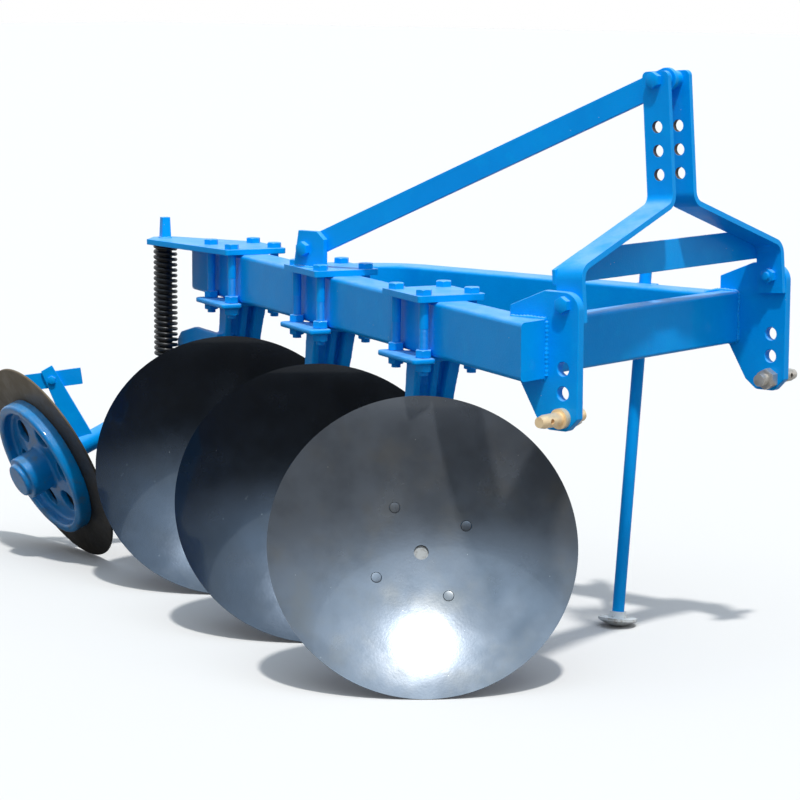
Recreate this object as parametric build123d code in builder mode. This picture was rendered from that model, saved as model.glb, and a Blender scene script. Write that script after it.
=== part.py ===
from build123d import *
import os
from math import cos, radians, sin, sqrt

os.makedirs("parts", exist_ok=True)

# A three-furrow disc plough that stands parked on its discs, furrow wheel and stand.
# +X is the direction of travel, +Y the machine's left, +Z up, in millimetres.
# The hitch frame has its origin on the floor below the middle of the lower hitch pins.
HITCH_X = 1073.0
HITCH_Y = 84.0
HITCH = Plane(origin=(HITCH_X, HITCH_Y, 0))

# Fits
SEAT_GAP = 0.3
BOLT_CLEARANCE = 0.5
SHAFT_CLEARANCE = 0.1

# Hitch plates and the beams
PLATE_OUTER = 398.5
PLATE_THICKNESS = 20.0
PLATE_INNER = PLATE_OUTER - PLATE_THICKNESS
PLATE_FRONT = 37.0
PLATE_REAR = -136.0
PLATE_TOP = 864.0
PLATE_SHOULDER_Z = 829.0
PLATE_HEEL_Z = 720.0
PLATE_BOTTOM = 581.0
PLATE_TOP_REAR = -50.0
PLATE_TOE_REAR = -64.0
PLATE_TOE_Z = 602.0
PLATE_FOOT = (-36.0, 11.0)
PLATE_TOP_ROUND = 36.0
PLATE_FOOT_ROUND = 14.0
PIN_Z = 608.0
PIN_HOLE_PITCH = 50.0
PIN_HOLE_D = 29.0
CROSS_DEPTH = 50.0
CROSS_BOTTOM = 681.0
CROSS_TOP = 796.0
TUBE_CORNER = 8.0
BEAM_ANGLE = 25.63
BEAM_WIDTH = 80.0
BEAM_BOTTOM = 686.0
BEAM_TOP = 806.0
BEAM_LENGTH = 1855.0
BEAM_CORNER = 10.0
BEAM_MITRE_X = -42.0
BEAM_START_X = -27.6
BEAM_START_Y = -446.2
BRACE_WIDTH = 70.0
BRACE_Y = 350.0
BRACE_BEND = 150.0
BRACE_MEETS_BEAM = 1290.0

# Lower hitch pins
PIN_D = 28.5
PIN_TIP_D = 22.0
PIN_REACH = 78.0
PIN_TIP_LENGTH = 16.0
PIN_COLLAR_D = 42.0
PIN_COLLAR = 14.0
PIN_SHANK_D = 27.0
PIN_SHANK_REACH = 45.0
PIN_NUT_AF = 41.0
PIN_NUT_HEIGHT = 22.0
LINCH_HOLE_D = 11.5
LINCH_HOLE_AT = 51.0

# Mast: two bent straps that lean to the rear
MAST_LEAN = 4.2
MAST_X = 4.0
MAST_Z = 800.0
STRAP_WIDTH = 65.0
STRAP_THICKNESS = 12.0
STRAP_GAP = 66.0
STRAP_BEND = 30.0
STRAP_LOWER_BEND = 108.0
STRAP_UPPER_BEND = 221.0
MAST_HEIGHT = 498.0
TOP_HOLE_D = 25.6
TOP_HOLES = (282.0, 332.0, 382.0)
STAY_BOLT_AT = 480.0
FOOT_BOLT_AT = 39.0
MAST_BOLT_D = 20.0
MAST_NUT_AF = 30.0
MAST_NUT_HEIGHT = 14.0
MAST_BOLT_TAIL = 8.0
SPACER_WALL = 8.0
FLAT_THICKNESS = 10.0
FLAT_BOTTOM = 77.0
FLAT_TOP = 142.0

# Top stay and its ear on the second clamp plate
STAY_HEIGHT = 50.0
STAY_THICKNESS = 12.0
EAR_BEHIND = 20.3
EAR_RIGHT = 45.0
EAR_BOLT_Z = 863.0
EAR_THICKNESS = 14.0
# The ear's outline from its bolt: how far its foot and top reach to the rear and the front, and its heights
EAR_FOOT_REAR = 33.0
EAR_TOP_REAR = 18.0
EAR_TOP_FRONT = 37.0
EAR_FRONT = 58.0
EAR_TOP = 42.0
EAR_SHOULDER = 24.0

# Clamps that hold the disc standards under the beam
CLAMP_FIRST = 487.0
CLAMP_PITCH = 557.7
CLAMP_COUNT = 3
CLAMP_LENGTH = 186.0
CLAMP_WIDTH = 160.0
CLAMP_THICKNESS = 14.0
CLAMP_BOLT_D = 21.0
CLAMP_BOLT_AHEAD = 70.0
CLAMP_BOLT_SIDE = 57.0
CLAMP_NUT_AF = 32.0
CLAMP_HEAD_HEIGHT = 13.0
CLAMP_NUT_HEIGHT = 17.0
CLAMP_ROD_END = 8.0
CLAMP_CORNER = 8.0
# Tail of the rear clamp plate, measured from the furrow wheel's shank
TAIL_REAR = 40.0
TAIL_LEFT_CORNER = (30.0, -32.0)
TAIL_RIGHT_CORNER = (-20.0, 58.0)
TAIL_RIGHT = 18.0

# Cast standards and their bearing housings
FLANGE_LENGTH = 190.0
FLANGE_WIDTH = 184.0
FLANGE_THICKNESS = 13.0
FLANGE_LUG_WIDTH = 54.0
FLANGE_MIDDLE = 116.0
FLANGE_CORNER = 8.0
LEG_WALL = 16.0
LEG_LEFT_WALL = 26.0
LEG_MIDDLE_SHARE = 0.72
LEG_RIGHT_SHARE = 0.62
HOUSING_D = 116.0
HOUSING_FRONT = 142.0
HOUSING_BACK = 248.0
HOUSING_CAP = 10.0
HOUSING_CAP_STEP = 10.0
HOUSING_CAP_SLOPE = 20.0
HOUSING_END_WALL = 3.0

# Discs
DISC_RADIUS = 330.0
DISC_DEPTH = 66.0
DISC_THICKNESS = 6.0
DISC_LAND = 2.0
DISC_BEVEL = 14.0
DISC_HOLE_D = 32.0
DISC_BOLT_CIRCLE = 112.0
DISC_BOLT_HEAD_D = 23.0
DISC_BOLT_D = 14.0
DISC_BOLT_COUNT = 4
DISC_BOLT_START = 30.0
DISC_NUT_AF = 22.0
DISC_NUT_HEIGHT = 11.2
DISC_BOLT_TAIL = 5.8
DISC_AZIMUTH = -47.75
DISC_TILT = 25.0
DISC_FORWARD = 166.8
DISC_RIGHT = 101.5
HUB_RADIUS = 128.0
HUB_BACK = 85.0
HUB_NECK_D = 92.0
HUB_NECK_BACK = 135.0
HUB_NECK_FLARE = 10.0
SHAFT_D = 50.0
SHAFT_BACK = 236.0

# Furrow wheel, on a shank with a coil spring
WHEEL_X = -1925.0
WHEEL_Y = 12.0
WHEEL_RADIUS = 270.0
WHEEL_THICKNESS = 6.0
WHEEL_AZIMUTH = -108.2
WHEEL_TILT = -23.4
WHEEL_RIM_OUTER = 184.0
WHEEL_RIM_INNER = 160.0
WHEEL_RIM_WIDTH = 40.0
WHEEL_WEB = 11.0
WHEEL_WEB_RISE = 9.0
WHEEL_CAST_ROUND = 8.0
WHEEL_HUB_D = 112.0
WHEEL_HUB_INNER = 30.0
WHEEL_HUB_OUTER = 90.0
WHEEL_CAP_D = 86.0
WHEEL_CAP_OUTER = 103.0
WHEEL_CAP_ROUND = 4.0
WHEEL_HOLE_D = 60.0
WHEEL_HOLE_CIRCLE = 108.0
WHEEL_HOLE_COUNT = 6
AXLE_END_GAP = 2.0
ARM_HUB_GAP = 3.0
AXLE_D = 40.0
AXLE_END = 52.0
ARM_D = 52.0
ARM_BEND_AT = 62.0
SHANK_AT = 1885.0
SHANK_RIGHT = 102.0
SHANK_D = 34.0
SHANK_FOOT_Z = 400.0
STUB_WIDTH = 25.0
STUB_TIP_WIDTH = 21.0
STUB_TOP = 873.0
STUB_CORNER = 2.0
SPRING_D = 62.0
SPRING_WIRE = 9.6
SPRING_BOTTOM = 505.0
SPRING_TURNS = 21
COLLAR_D = 60.0
COLLAR_HEIGHT = 10.0
GUIDE_D = 68.0
GUIDE_TOP = 490.0
GUIDE_BOTTOM = 432.0
GUIDE_PLATE_RIGHT = 62.0
GUIDE_PLATE_THICKNESS = 16.0
GUIDE_BOSS_LENGTH = 34.0
GUIDE_BOSS_HEIGHT = 80.0
GUIDE_BOSS_Z = 560.0
# The guide arm's side view: distance ahead of the shank and height of each corner of its top edge
GUIDE_ARM_TOP = ((118.0, 600.0), (22.0, 578.0), (0.0, 558.0))
GUIDE_ARM_BOTTOM = 50.0
GUIDE_ARM_ROOT_Z = 520.0

# Scraper: two flats behind the wheel, in an upright plane
SCRAPER_AZIMUTH = -50.4
SCRAPER_AT = 0.25
SCRAPER_THICKNESS = 10.0
SCRAPER_ARM_EDGE = 2.0
SCRAPER_ARM_TIP = 32.0
SCRAPER_ARM_FOOT = 60.0
SCRAPER_ARM_LENGTH = 220.0
SCRAPER_ARM_LEAN = 30.0
SCRAPER_BLADE_AT = 187.0
SCRAPER_BLADE_ACROSS = -17.0
SCRAPER_BLADE_LEAN = 8.0
SCRAPER_BLADE_RIGHT = 76.0
SCRAPER_BLADE_LEFT = 100.0
SCRAPER_BLADE_THICKNESS = 8.0
SCRAPER_BLADE_WIDTH = 42.0
SCRAPER_BOLT_D = 12.0
SCRAPER_NUT_AF = 19.0
SCRAPER_HEAD_HEIGHT = 8.0
SCRAPER_NUT_HEIGHT = 10.0
SCRAPER_BOLT_TAIL = 4.0

# Parking stand
STAND_X = -363.0
STAND_Y = 330.0
STAND_SLEEVE_X = -370.0
STAND_SLEEVE_Y = 415.0
STAND_SLEEVE_Z = 740.0
STAND_SLEEVE_HEIGHT = 100.0
STAND_SLEEVE_LENGTH = 54.0
STAND_SLEEVE_WALL = 10.0
STAND_ROD_D = 28.0
STAND_ROD_LENGTH = 876.0
STAND_FOOT_D = 90.0
STAND_FOOT_RADIUS = 79.0
STAND_FOOT_EDGE = 6.0
STAND_BOSS_D = 44.0
STAND_BOSS_TOP = 34.0
STAND_BOSS_TAPER = 4.0
STAND_ROD_CHAMFER = 2.0
STAND_SLEEVE_ROUND = 12.0


def hitch_point(x, y, z):
    """A point given in the hitch frame."""
    return HITCH.from_local_coords(Vector(x, y, z))


def shifted(plane, x, y, z):
    """The same plane, moved along its own axes."""
    return Plane(origin=plane.from_local_coords(Vector(x, y, z)), x_dir=plane.x_dir, z_dir=plane.z_dir)


def aimed(origin, azimuth, tilt):
    """A plane whose z axis points along an azimuth and an elevation, with its x axis level."""
    level = Vector(-sin(radians(azimuth)), cos(radians(azimuth)), 0)
    ahead = Vector(cos(radians(azimuth)) * cos(radians(tilt)), sin(radians(azimuth)) * cos(radians(tilt)),
                   sin(radians(tilt)))
    return Plane(origin=origin, x_dir=level, z_dir=ahead)


def through_axis(plane):
    """The plane that holds a turning axis: its y axis is the given plane's z axis."""
    return Plane(origin=plane.origin, x_dir=plane.x_dir, z_dir=plane.x_dir.cross(plane.z_dir))


def facing(origin, direction, x_dir):
    """A plane that faces along a direction."""
    return Plane(origin=origin, x_dir=x_dir, z_dir=direction)


def finish(piece, name):
    """Label a finished piece and write it out."""
    piece.label = name
    export_step(piece, f"parts/{name}.step")


# The beam's frame: x runs to the rear along the beam, y to the machine's right, z up
BEAM = Plane(
    origin=hitch_point(BEAM_START_X, BEAM_START_Y, 0),
    x_dir=(-cos(radians(BEAM_ANGLE)), sin(radians(BEAM_ANGLE)), 0),
    z_dir=(0, 0, 1),
)
BEAM_ACROSS = Plane(origin=BEAM.origin, x_dir=BEAM.y_dir, z_dir=BEAM.x_dir)


# Main beam: a box tube, mitred at its front end and notched round the right hitch plate
with BuildPart() as main_beam:
    with BuildSketch(shifted(BEAM_ACROSS, 0, (BEAM_BOTTOM + BEAM_TOP) / 2, 0)):
        RectangleRounded(BEAM_WIDTH, BEAM_TOP - BEAM_BOTTOM, BEAM_CORNER)
    extrude(amount=BEAM_LENGTH)
    extrude(main_beam.faces().sort_by(Axis((0, 0, 0), BEAM.x_dir))[0], amount=BEAM_WIDTH)
    split(bisect_by=Plane(origin=hitch_point(BEAM_MITRE_X, 0, 0), z_dir=(1, 0, 0)), keep=Keep.BOTTOM)
    with BuildSketch(HITCH.offset(BEAM_BOTTOM - 1)):
        with Locations((PLATE_REAR, -PLATE_OUTER)):
            Rectangle(-PLATE_REAR, PLATE_OUTER, align=(Align.MIN, Align.MIN))
    extrude(amount=BEAM_TOP - BEAM_BOTTOM + 2, mode=Mode.SUBTRACT)
finish(main_beam.part, "main_beam")

# Cross beam between the hitch plates
with BuildPart() as cross_beam:
    across = facing(
        hitch_point(PLATE_REAR + CROSS_DEPTH / 2, -PLATE_INNER, (CROSS_BOTTOM + CROSS_TOP) / 2),
        (0, 1, 0),
        (0, 0, 1),
    )
    with BuildSketch(across):
        RectangleRounded(CROSS_TOP - CROSS_BOTTOM, CROSS_DEPTH, TUBE_CORNER)
    extrude(amount=2 * PLATE_INNER)
finish(cross_beam.part, "cross_beam")

# Brace tube from the cross beam's left end, round into the main beam's left face
brace_start = hitch_point(PLATE_REAR, BRACE_Y, (CROSS_BOTTOM + CROSS_TOP) / 2)
brace_end = BEAM.from_local_coords(Vector(BRACE_MEETS_BEAM, -BEAM_WIDTH / 2, (CROSS_BOTTOM + CROSS_TOP) / 2))
brace_run = (brace_start.Y - brace_end.Y) / -BEAM.y_dir.Y
brace_corner = brace_end + BEAM.y_dir * -brace_run
with BuildPart() as brace_tube:
    with BuildLine() as brace_path:
        FilletPolyline(brace_start, brace_corner, brace_end, radius=BRACE_BEND)
    with BuildSketch(facing(brace_start, (-1, 0, 0), (0, 0, 1))):
        RectangleRounded(CROSS_TOP - CROSS_BOTTOM, BRACE_WIDTH, TUBE_CORNER)
    sweep(path=brace_path.wires()[0])
finish(brace_tube.part, "brace_tube")


# Hitch plates with the lower pin's hole, two free holes above it and the mast bolt's hole
MAST_TILT = Vector(-sin(radians(MAST_LEAN)), 0, cos(radians(MAST_LEAN)))
MAST = Plane(origin=hitch_point(MAST_X, 0, MAST_Z), x_dir=(0, 1, 0), z_dir=Vector(0, 1, 0).cross(MAST_TILT))


def hitch_plate(side):
    """One plate, from its outer face inwards; side is -1 for the right and +1 for the left."""
    outer = facing(hitch_point(0, side * PLATE_OUTER, 0), (0, -side, 0), (side, 0, 0))
    with BuildPart() as plate:
        with BuildSketch(outer):
            with BuildLine():
                Polyline(
                    (side * PLATE_FRONT, PIN_Z),
                    (side * PLATE_FRONT, PLATE_TOP),
                    (side * PLATE_TOP_REAR, PLATE_TOP),
                    (side * PLATE_REAR, PLATE_SHOULDER_Z),
                    (side * PLATE_REAR, PLATE_HEEL_Z),
                    (side * PLATE_TOE_REAR, PLATE_TOE_Z),
                    (side * PLATE_FOOT[0], PLATE_BOTTOM),
                    (side * PLATE_FOOT[1], PLATE_BOTTOM),
                    close=True,
                )
            make_face()
        extrude(amount=PLATE_THICKNESS)
        upright = plate.edges().filter_by(Axis.Y)
        fillet(upright.group_by(Axis.Z)[-1].sort_by(Axis.X)[-1], radius=PLATE_TOP_ROUND)
        fillet(plate.edges().filter_by(Axis.Y).group_by(Axis.Z)[0], radius=PLATE_FOOT_ROUND)
        with BuildSketch(outer):
            for step in range(3):
                with Locations((0, PIN_Z + step * PIN_HOLE_PITCH)):
                    Circle(PIN_HOLE_D / 2)
        extrude(amount=PLATE_THICKNESS, mode=Mode.SUBTRACT)
        bolt_at = MAST.from_local_coords(Vector(0, FOOT_BOLT_AT, 0)) - HITCH.origin
        with BuildSketch(outer):
            with Locations((side * bolt_at.X, bolt_at.Z)):
                Circle(MAST_BOLT_D / 2 + BOLT_CLEARANCE)
        extrude(amount=PLATE_THICKNESS, mode=Mode.SUBTRACT)
    return plate.part


# Lower hitch pins: tapered tip, linch hole, collar on the plate, shank through the plate
def hitch_pin(side):
    """One pin, turned about its own axis, which runs outwards."""
    root = facing(hitch_point(0, side * PLATE_OUTER, PIN_Z), (0, side, 0), (0, 0, 1))
    with BuildPart() as pin:
        with BuildSketch(root.offset(-PLATE_THICKNESS - PIN_SHANK_REACH)):
            Circle(PIN_SHANK_D / 2)
        extrude(amount=PLATE_THICKNESS + PIN_SHANK_REACH)
        with BuildSketch(root):
            Circle(PIN_COLLAR_D / 2)
        extrude(amount=PIN_COLLAR)
        with BuildSketch(root.offset(PIN_COLLAR)):
            Circle(PIN_D / 2)
        extrude(amount=PIN_REACH - PIN_TIP_LENGTH - PIN_COLLAR)
        with BuildSketch(root.offset(PIN_REACH - PIN_TIP_LENGTH)):
            Circle(PIN_D / 2)
        with BuildSketch(root.offset(PIN_REACH)):
            Circle(PIN_TIP_D / 2)
        loft()
        with BuildSketch(facing(root.origin + root.z_dir * LINCH_HOLE_AT, (1, 0, 0), root.z_dir)):
            Circle(LINCH_HOLE_D / 2)
        extrude(amount=PIN_D, both=True, mode=Mode.SUBTRACT)
    return pin.part


for side, hand in ((-1, "right"), (1, "left")):
    finish(hitch_plate(side), f"hitch_plate_{hand}")
    finish(hitch_pin(side), f"hitch_pin_{hand}")

with BuildPart() as hitch_pin_nuts:
    for side in (-1, 1):
        inner_face = facing(hitch_point(0, side * PLATE_INNER, PIN_Z), (0, -side, 0), (0, 0, 1))
        with BuildSketch(inner_face):
            RegularPolygon(PIN_NUT_AF / 2, 6, major_radius=False)
            Circle(PIN_SHANK_D / 2 + SEAT_GAP, mode=Mode.SUBTRACT)
        extrude(amount=PIN_NUT_HEIGHT)
finish(hitch_pin_nuts.part, "hitch_pin_nuts")


# Mast straps: bent flats from inside the hitch plates up to the narrow head
FOOT_Y = PLATE_INNER - STRAP_THICKNESS / 2
HEAD_Y = STRAP_GAP / 2 + STRAP_THICKNESS / 2


def mast_strap(side):
    """One bent strap with its bolt hole, top-link holes and stay-bolt hole."""
    with BuildPart() as strap:
        with BuildLine(MAST) as route:
            FilletPolyline(
                (side * FOOT_Y, 0),
                (side * FOOT_Y, STRAP_LOWER_BEND),
                (side * HEAD_Y, STRAP_UPPER_BEND),
                (side * HEAD_Y, MAST_HEIGHT),
                radius=STRAP_BEND,
            )
        with BuildSketch(facing(MAST.from_local_coords(Vector(side * FOOT_Y, 0, 0)), MAST.y_dir, MAST.x_dir)):
            Rectangle(STRAP_THICKNESS, STRAP_WIDTH)
        sweep(path=route.wires()[0])
        head = facing(MAST.from_local_coords(Vector(side * HEAD_Y, 0, 0)), MAST.x_dir, MAST.y_dir)
        with BuildSketch(head):
            for height in TOP_HOLES:
                with Locations((height, 0)):
                    Circle(TOP_HOLE_D / 2)
            with Locations((STAY_BOLT_AT, 0)):
                Circle(MAST_BOLT_D / 2 + BOLT_CLEARANCE)
        extrude(amount=STRAP_THICKNESS, both=True, mode=Mode.SUBTRACT)
        foot = facing(MAST.from_local_coords(Vector(side * FOOT_Y, 0, 0)), MAST.x_dir, MAST.y_dir)
        with BuildSketch(foot):
            with Locations((FOOT_BOLT_AT, 0)):
                Circle(MAST_BOLT_D / 2 + BOLT_CLEARANCE)
        extrude(amount=STRAP_THICKNESS, both=True, mode=Mode.SUBTRACT)
        top_edges = strap.faces().sort_by(Axis((0, 0, 0), MAST.y_dir))[-1].edges().filter_by(Axis.Y)
        fillet(top_edges, radius=STRAP_THICKNESS)
    return strap.part


for side, hand in ((-1, "right"), (1, "left")):
    finish(mast_strap(side), f"mast_strap_{hand}")

# Flat across the rear edges of the straps, trimmed to their outer faces
STRAP_SLOPE = (FOOT_Y - HEAD_Y) / (STRAP_UPPER_BEND - STRAP_LOWER_BEND)
flat_top_y = PLATE_INNER - (FLAT_TOP - STRAP_LOWER_BEND) * STRAP_SLOPE
with BuildPart() as mast_flat:
    with BuildSketch(MAST.offset(-STRAP_WIDTH / 2)):
        with BuildLine():
            Polyline(
                (-PLATE_INNER, FLAT_BOTTOM),
                (PLATE_INNER, FLAT_BOTTOM),
                (PLATE_INNER, STRAP_LOWER_BEND),
                (flat_top_y, FLAT_TOP),
                (-flat_top_y, FLAT_TOP),
                (-PLATE_INNER, STRAP_LOWER_BEND),
                close=True,
            )
        make_face()
    extrude(amount=-FLAT_THICKNESS)
finish(mast_flat.part, "mast_flat")


def through_bolt(start, direction, x_dir, grip, diameter, across, head, nut, tail):
    """A hexagon bolt: head before the start plane, shank through the grip, nut after it, thread end."""
    seat = facing(start, direction, x_dir)
    with BuildPart() as bolt:
        with BuildSketch(seat.offset(-head)):
            RegularPolygon(across / 2, 6, major_radius=False)
        extrude(amount=head)
        with BuildSketch(seat):
            Circle(diameter / 2)
        extrude(amount=grip + nut + tail)
        with BuildSketch(seat.offset(grip)):
            RegularPolygon(across / 2, 6, major_radius=False)
        extrude(amount=nut)
    return bolt.part


# Mast bolts: one through each hitch plate and strap foot, one through the head
mast_bolt_list = [
    through_bolt(
        MAST.from_local_coords(Vector(side * PLATE_OUTER, FOOT_BOLT_AT, 0)),
        (0, -side, 0),
        (0, 0, 1),
        PLATE_THICKNESS + STRAP_THICKNESS,
        MAST_BOLT_D,
        MAST_NUT_AF,
        MAST_NUT_HEIGHT,
        MAST_NUT_HEIGHT,
        MAST_BOLT_TAIL,
    )
    for side in (-1, 1)
]
mast_bolt_list.append(
    through_bolt(
        MAST.from_local_coords(Vector(-STRAP_GAP / 2 - STRAP_THICKNESS, STAY_BOLT_AT, 0)),
        (0, 1, 0),
        (0, 0, 1),
        STRAP_GAP + 2 * STRAP_THICKNESS,
        MAST_BOLT_D,
        MAST_NUT_AF,
        MAST_NUT_HEIGHT,
        MAST_NUT_HEIGHT,
        MAST_BOLT_TAIL,
    )
)
finish(Compound(children=mast_bolt_list), "mast_bolts")

# Spacers on the head bolt, one each side of the top stay
with BuildPart() as mast_spacers:
    for side in (-1, 1):
        spacer_start = facing(
            MAST.from_local_coords(Vector(side * STRAP_GAP / 2, STAY_BOLT_AT, 0)), (0, -side, 0), (0, 0, 1)
        )
        with BuildSketch(spacer_start):
            Circle(MAST_BOLT_D / 2 + SPACER_WALL)
            Circle(MAST_BOLT_D / 2 + SEAT_GAP, mode=Mode.SUBTRACT)
        extrude(amount=(STRAP_GAP - STAY_THICKNESS) / 2 - BOLT_CLEARANCE)
finish(mast_spacers.part, "mast_spacers")

# Top stay: a flat bar from the mast head down to the ear on the second clamp
ear_at = BEAM.from_local_coords(Vector(CLAMP_FIRST + CLAMP_PITCH + EAR_BEHIND, EAR_RIGHT, EAR_BOLT_Z))
stay_front = MAST.from_local_coords(Vector(0, STAY_BOLT_AT, 0))
stay_line = ear_at - stay_front
stay_level = Vector(stay_line.X, stay_line.Y, 0).normalized()
STAY = Plane(origin=stay_front, x_dir=stay_line, z_dir=Vector(0, 0, 1).cross(stay_line))
with BuildPart() as top_stay:
    with BuildSketch(STAY.offset(-STAY_THICKNESS / 2)):
        with Locations((stay_line.length / 2, 0)):
            SlotCenterToCenter(stay_line.length, STAY_HEIGHT)
        with Locations((0, 0), (stay_line.length, 0)):
            Circle(MAST_BOLT_D / 2 + BOLT_CLEARANCE, mode=Mode.SUBTRACT)
    extrude(amount=STAY_THICKNESS)
finish(top_stay.part, "top_stay")

# Ear: an upright plate with cut corners, on the right side of the stay's rear end
CLAMP_TOP = BEAM_TOP + CLAMP_THICKNESS
EAR = Plane(origin=ear_at, x_dir=-stay_level, z_dir=STAY.z_dir).offset(STAY_THICKNESS / 2 + SEAT_GAP)
ear_base = CLAMP_TOP - EAR_BOLT_Z
with BuildPart() as stay_ear:
    with BuildSketch(EAR):
        with BuildLine():
            Polyline(
                (-EAR_FOOT_REAR, ear_base),
                (-EAR_TOP_REAR, EAR_TOP),
                (EAR_TOP_FRONT, EAR_TOP),
                (EAR_FRONT, EAR_SHOULDER),
                (EAR_FRONT, ear_base),
                close=True,
            )
        make_face()
        Circle(MAST_BOLT_D / 2 + BOLT_CLEARANCE, mode=Mode.SUBTRACT)
    extrude(amount=EAR_THICKNESS)
finish(stay_ear.part, "stay_ear")
ear_bolt = through_bolt(
    EAR.from_local_coords(Vector(0, 0, EAR_THICKNESS)),
    -EAR.z_dir,
    EAR.x_dir,
    EAR_THICKNESS + STAY_THICKNESS + SEAT_GAP,
    MAST_BOLT_D,
    MAST_NUT_AF,
    MAST_NUT_HEIGHT,
    MAST_NUT_HEIGHT,
    MAST_BOLT_TAIL,
)
finish(ear_bolt, "stay_ear_bolt")


# Clamps: a top plate, the casting's flange under the beam and four bolts beside the beam
def clamp_frame(number):
    """The frame of one clamp: its origin is on the beam's centre line, on the floor."""
    return shifted(BEAM, CLAMP_FIRST + CLAMP_PITCH * number, 0, 0)


CLAMP_BOLT_GRID = (2 * CLAMP_BOLT_AHEAD, 2 * CLAMP_BOLT_SIDE)
LAST_CLAMP = CLAMP_COUNT - 1
SHANK_BEHIND_CLAMP = SHANK_AT - CLAMP_FIRST - CLAMP_PITCH * LAST_CLAMP


def clamp_plate(number):
    """The top plate; the rear one runs on to the furrow wheel's shank."""
    frame = clamp_frame(number)
    with BuildPart() as plate:
        with BuildSketch(shifted(frame, 0, 0, BEAM_TOP)):
            if number < LAST_CLAMP:
                Rectangle(CLAMP_LENGTH, CLAMP_WIDTH)
            else:
                with BuildLine():
                    Polyline(
                        (-CLAMP_LENGTH / 2, -CLAMP_WIDTH / 2),
                        (CLAMP_LENGTH / 2, -CLAMP_WIDTH / 2),
                        (SHANK_BEHIND_CLAMP + TAIL_LEFT_CORNER[0], SHANK_RIGHT + TAIL_LEFT_CORNER[1]),
                        (SHANK_BEHIND_CLAMP + TAIL_REAR, SHANK_RIGHT + TAIL_RIGHT),
                        (SHANK_BEHIND_CLAMP + TAIL_RIGHT_CORNER[0], SHANK_RIGHT + TAIL_RIGHT_CORNER[1]),
                        (-CLAMP_LENGTH / 2, CLAMP_WIDTH / 2),
                        close=True,
                    )
                make_face()
                with Locations((SHANK_BEHIND_CLAMP, SHANK_RIGHT)):
                    Circle(SHANK_D / 2 + SEAT_GAP, mode=Mode.SUBTRACT)
            with GridLocations(*CLAMP_BOLT_GRID, 2, 2):
                Circle(CLAMP_BOLT_D / 2 + BOLT_CLEARANCE, mode=Mode.SUBTRACT)
        extrude(amount=CLAMP_THICKNESS)
        fillet(plate.edges().filter_by(Axis.Z).group_by(Axis((0, 0, 0), BEAM.x_dir))[0], radius=CLAMP_CORNER)
    return plate.part


def clamp_bolts(number):
    """Four bolts: head on the plate, nuts above and below the flange, thread end."""
    frame = clamp_frame(number)
    flange_bottom = BEAM_BOTTOM - FLANGE_THICKNESS
    with BuildPart() as bolts:
        with BuildSketch(shifted(frame, 0, 0, flange_bottom - CLAMP_NUT_HEIGHT - CLAMP_ROD_END)):
            with GridLocations(*CLAMP_BOLT_GRID, 2, 2):
                Circle(CLAMP_BOLT_D / 2)
        extrude(amount=CLAMP_TOP - flange_bottom + CLAMP_NUT_HEIGHT + CLAMP_ROD_END)
        for height, base in (
            (CLAMP_HEAD_HEIGHT, CLAMP_TOP),
            (CLAMP_NUT_HEIGHT, BEAM_BOTTOM),
            (CLAMP_NUT_HEIGHT, flange_bottom - CLAMP_NUT_HEIGHT),
        ):
            with BuildSketch(shifted(frame, 0, 0, base)):
                with GridLocations(*CLAMP_BOLT_GRID, 2, 2):
                    RegularPolygon(CLAMP_NUT_AF / 2, 6, major_radius=False)
            extrude(amount=height)
    return bolts.part


for number in range(CLAMP_COUNT):
    finish(clamp_plate(number), f"clamp_plate_{number + 1}")
    finish(clamp_bolts(number), f"clamp_bolts_{number + 1}")


# Discs: their axes are turned from the line of travel and tilted up
SPHERE = (DISC_RADIUS**2 + DISC_DEPTH**2) / (2 * DISC_DEPTH)
BACK_SPHERE = SPHERE + DISC_THICKNESS
DISC_Z = (DISC_RADIUS * cos(radians(DISC_TILT))) + DISC_LAND * sin(radians(DISC_TILT))


def dish(radius, sphere):
    """How far along the axis a sphere about the dish's centre lies, from the rim's plane."""
    return SPHERE - DISC_DEPTH - sqrt(sphere**2 - radius**2)


def disc_plane(number):
    """The rim's plane of one disc, facing out of its hollow side."""
    centre = shifted(clamp_frame(number), -DISC_FORWARD, DISC_RIGHT, DISC_Z).origin
    return aimed(centre, DISC_AZIMUTH, DISC_TILT)


def disc_bolt_places():
    """Where the disc's bolts stand round its axis."""
    return PolarLocations(DISC_BOLT_CIRCLE, DISC_BOLT_COUNT, start_angle=DISC_BOLT_START)


def disc(number):
    """A dished disc with a ground edge, a centre hole and sunk seats for its bolts."""
    rim = disc_plane(number)
    hole = DISC_HOLE_D / 2
    bevel_at = DISC_RADIUS - DISC_BEVEL
    with BuildPart() as blade:
        with BuildSketch(through_axis(rim)):
            with BuildLine():
                ThreePointArc(
                    (hole, dish(hole, SPHERE)),
                    (DISC_RADIUS / 2, dish(DISC_RADIUS / 2, SPHERE)),
                    (DISC_RADIUS, 0),
                )
                Line((DISC_RADIUS, 0), (DISC_RADIUS, -DISC_LAND))
                Line((DISC_RADIUS, -DISC_LAND), (bevel_at, dish(bevel_at, BACK_SPHERE)))
                ThreePointArc(
                    (bevel_at, dish(bevel_at, BACK_SPHERE)),
                    (bevel_at / 2, dish(bevel_at / 2, BACK_SPHERE)),
                    (hole, dish(hole, BACK_SPHERE)),
                )
                Line((hole, dish(hole, BACK_SPHERE)), (hole, dish(hole, SPHERE)))
            make_face()
        revolve(axis=Axis(rim.origin, rim.z_dir))
        with BuildSketch(rim):
            with disc_bolt_places():
                Circle(DISC_BOLT_HEAD_D / 2 + SEAT_GAP)
        extrude(amount=-2 * DISC_DEPTH, mode=Mode.SUBTRACT)
    return blade.part


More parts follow.
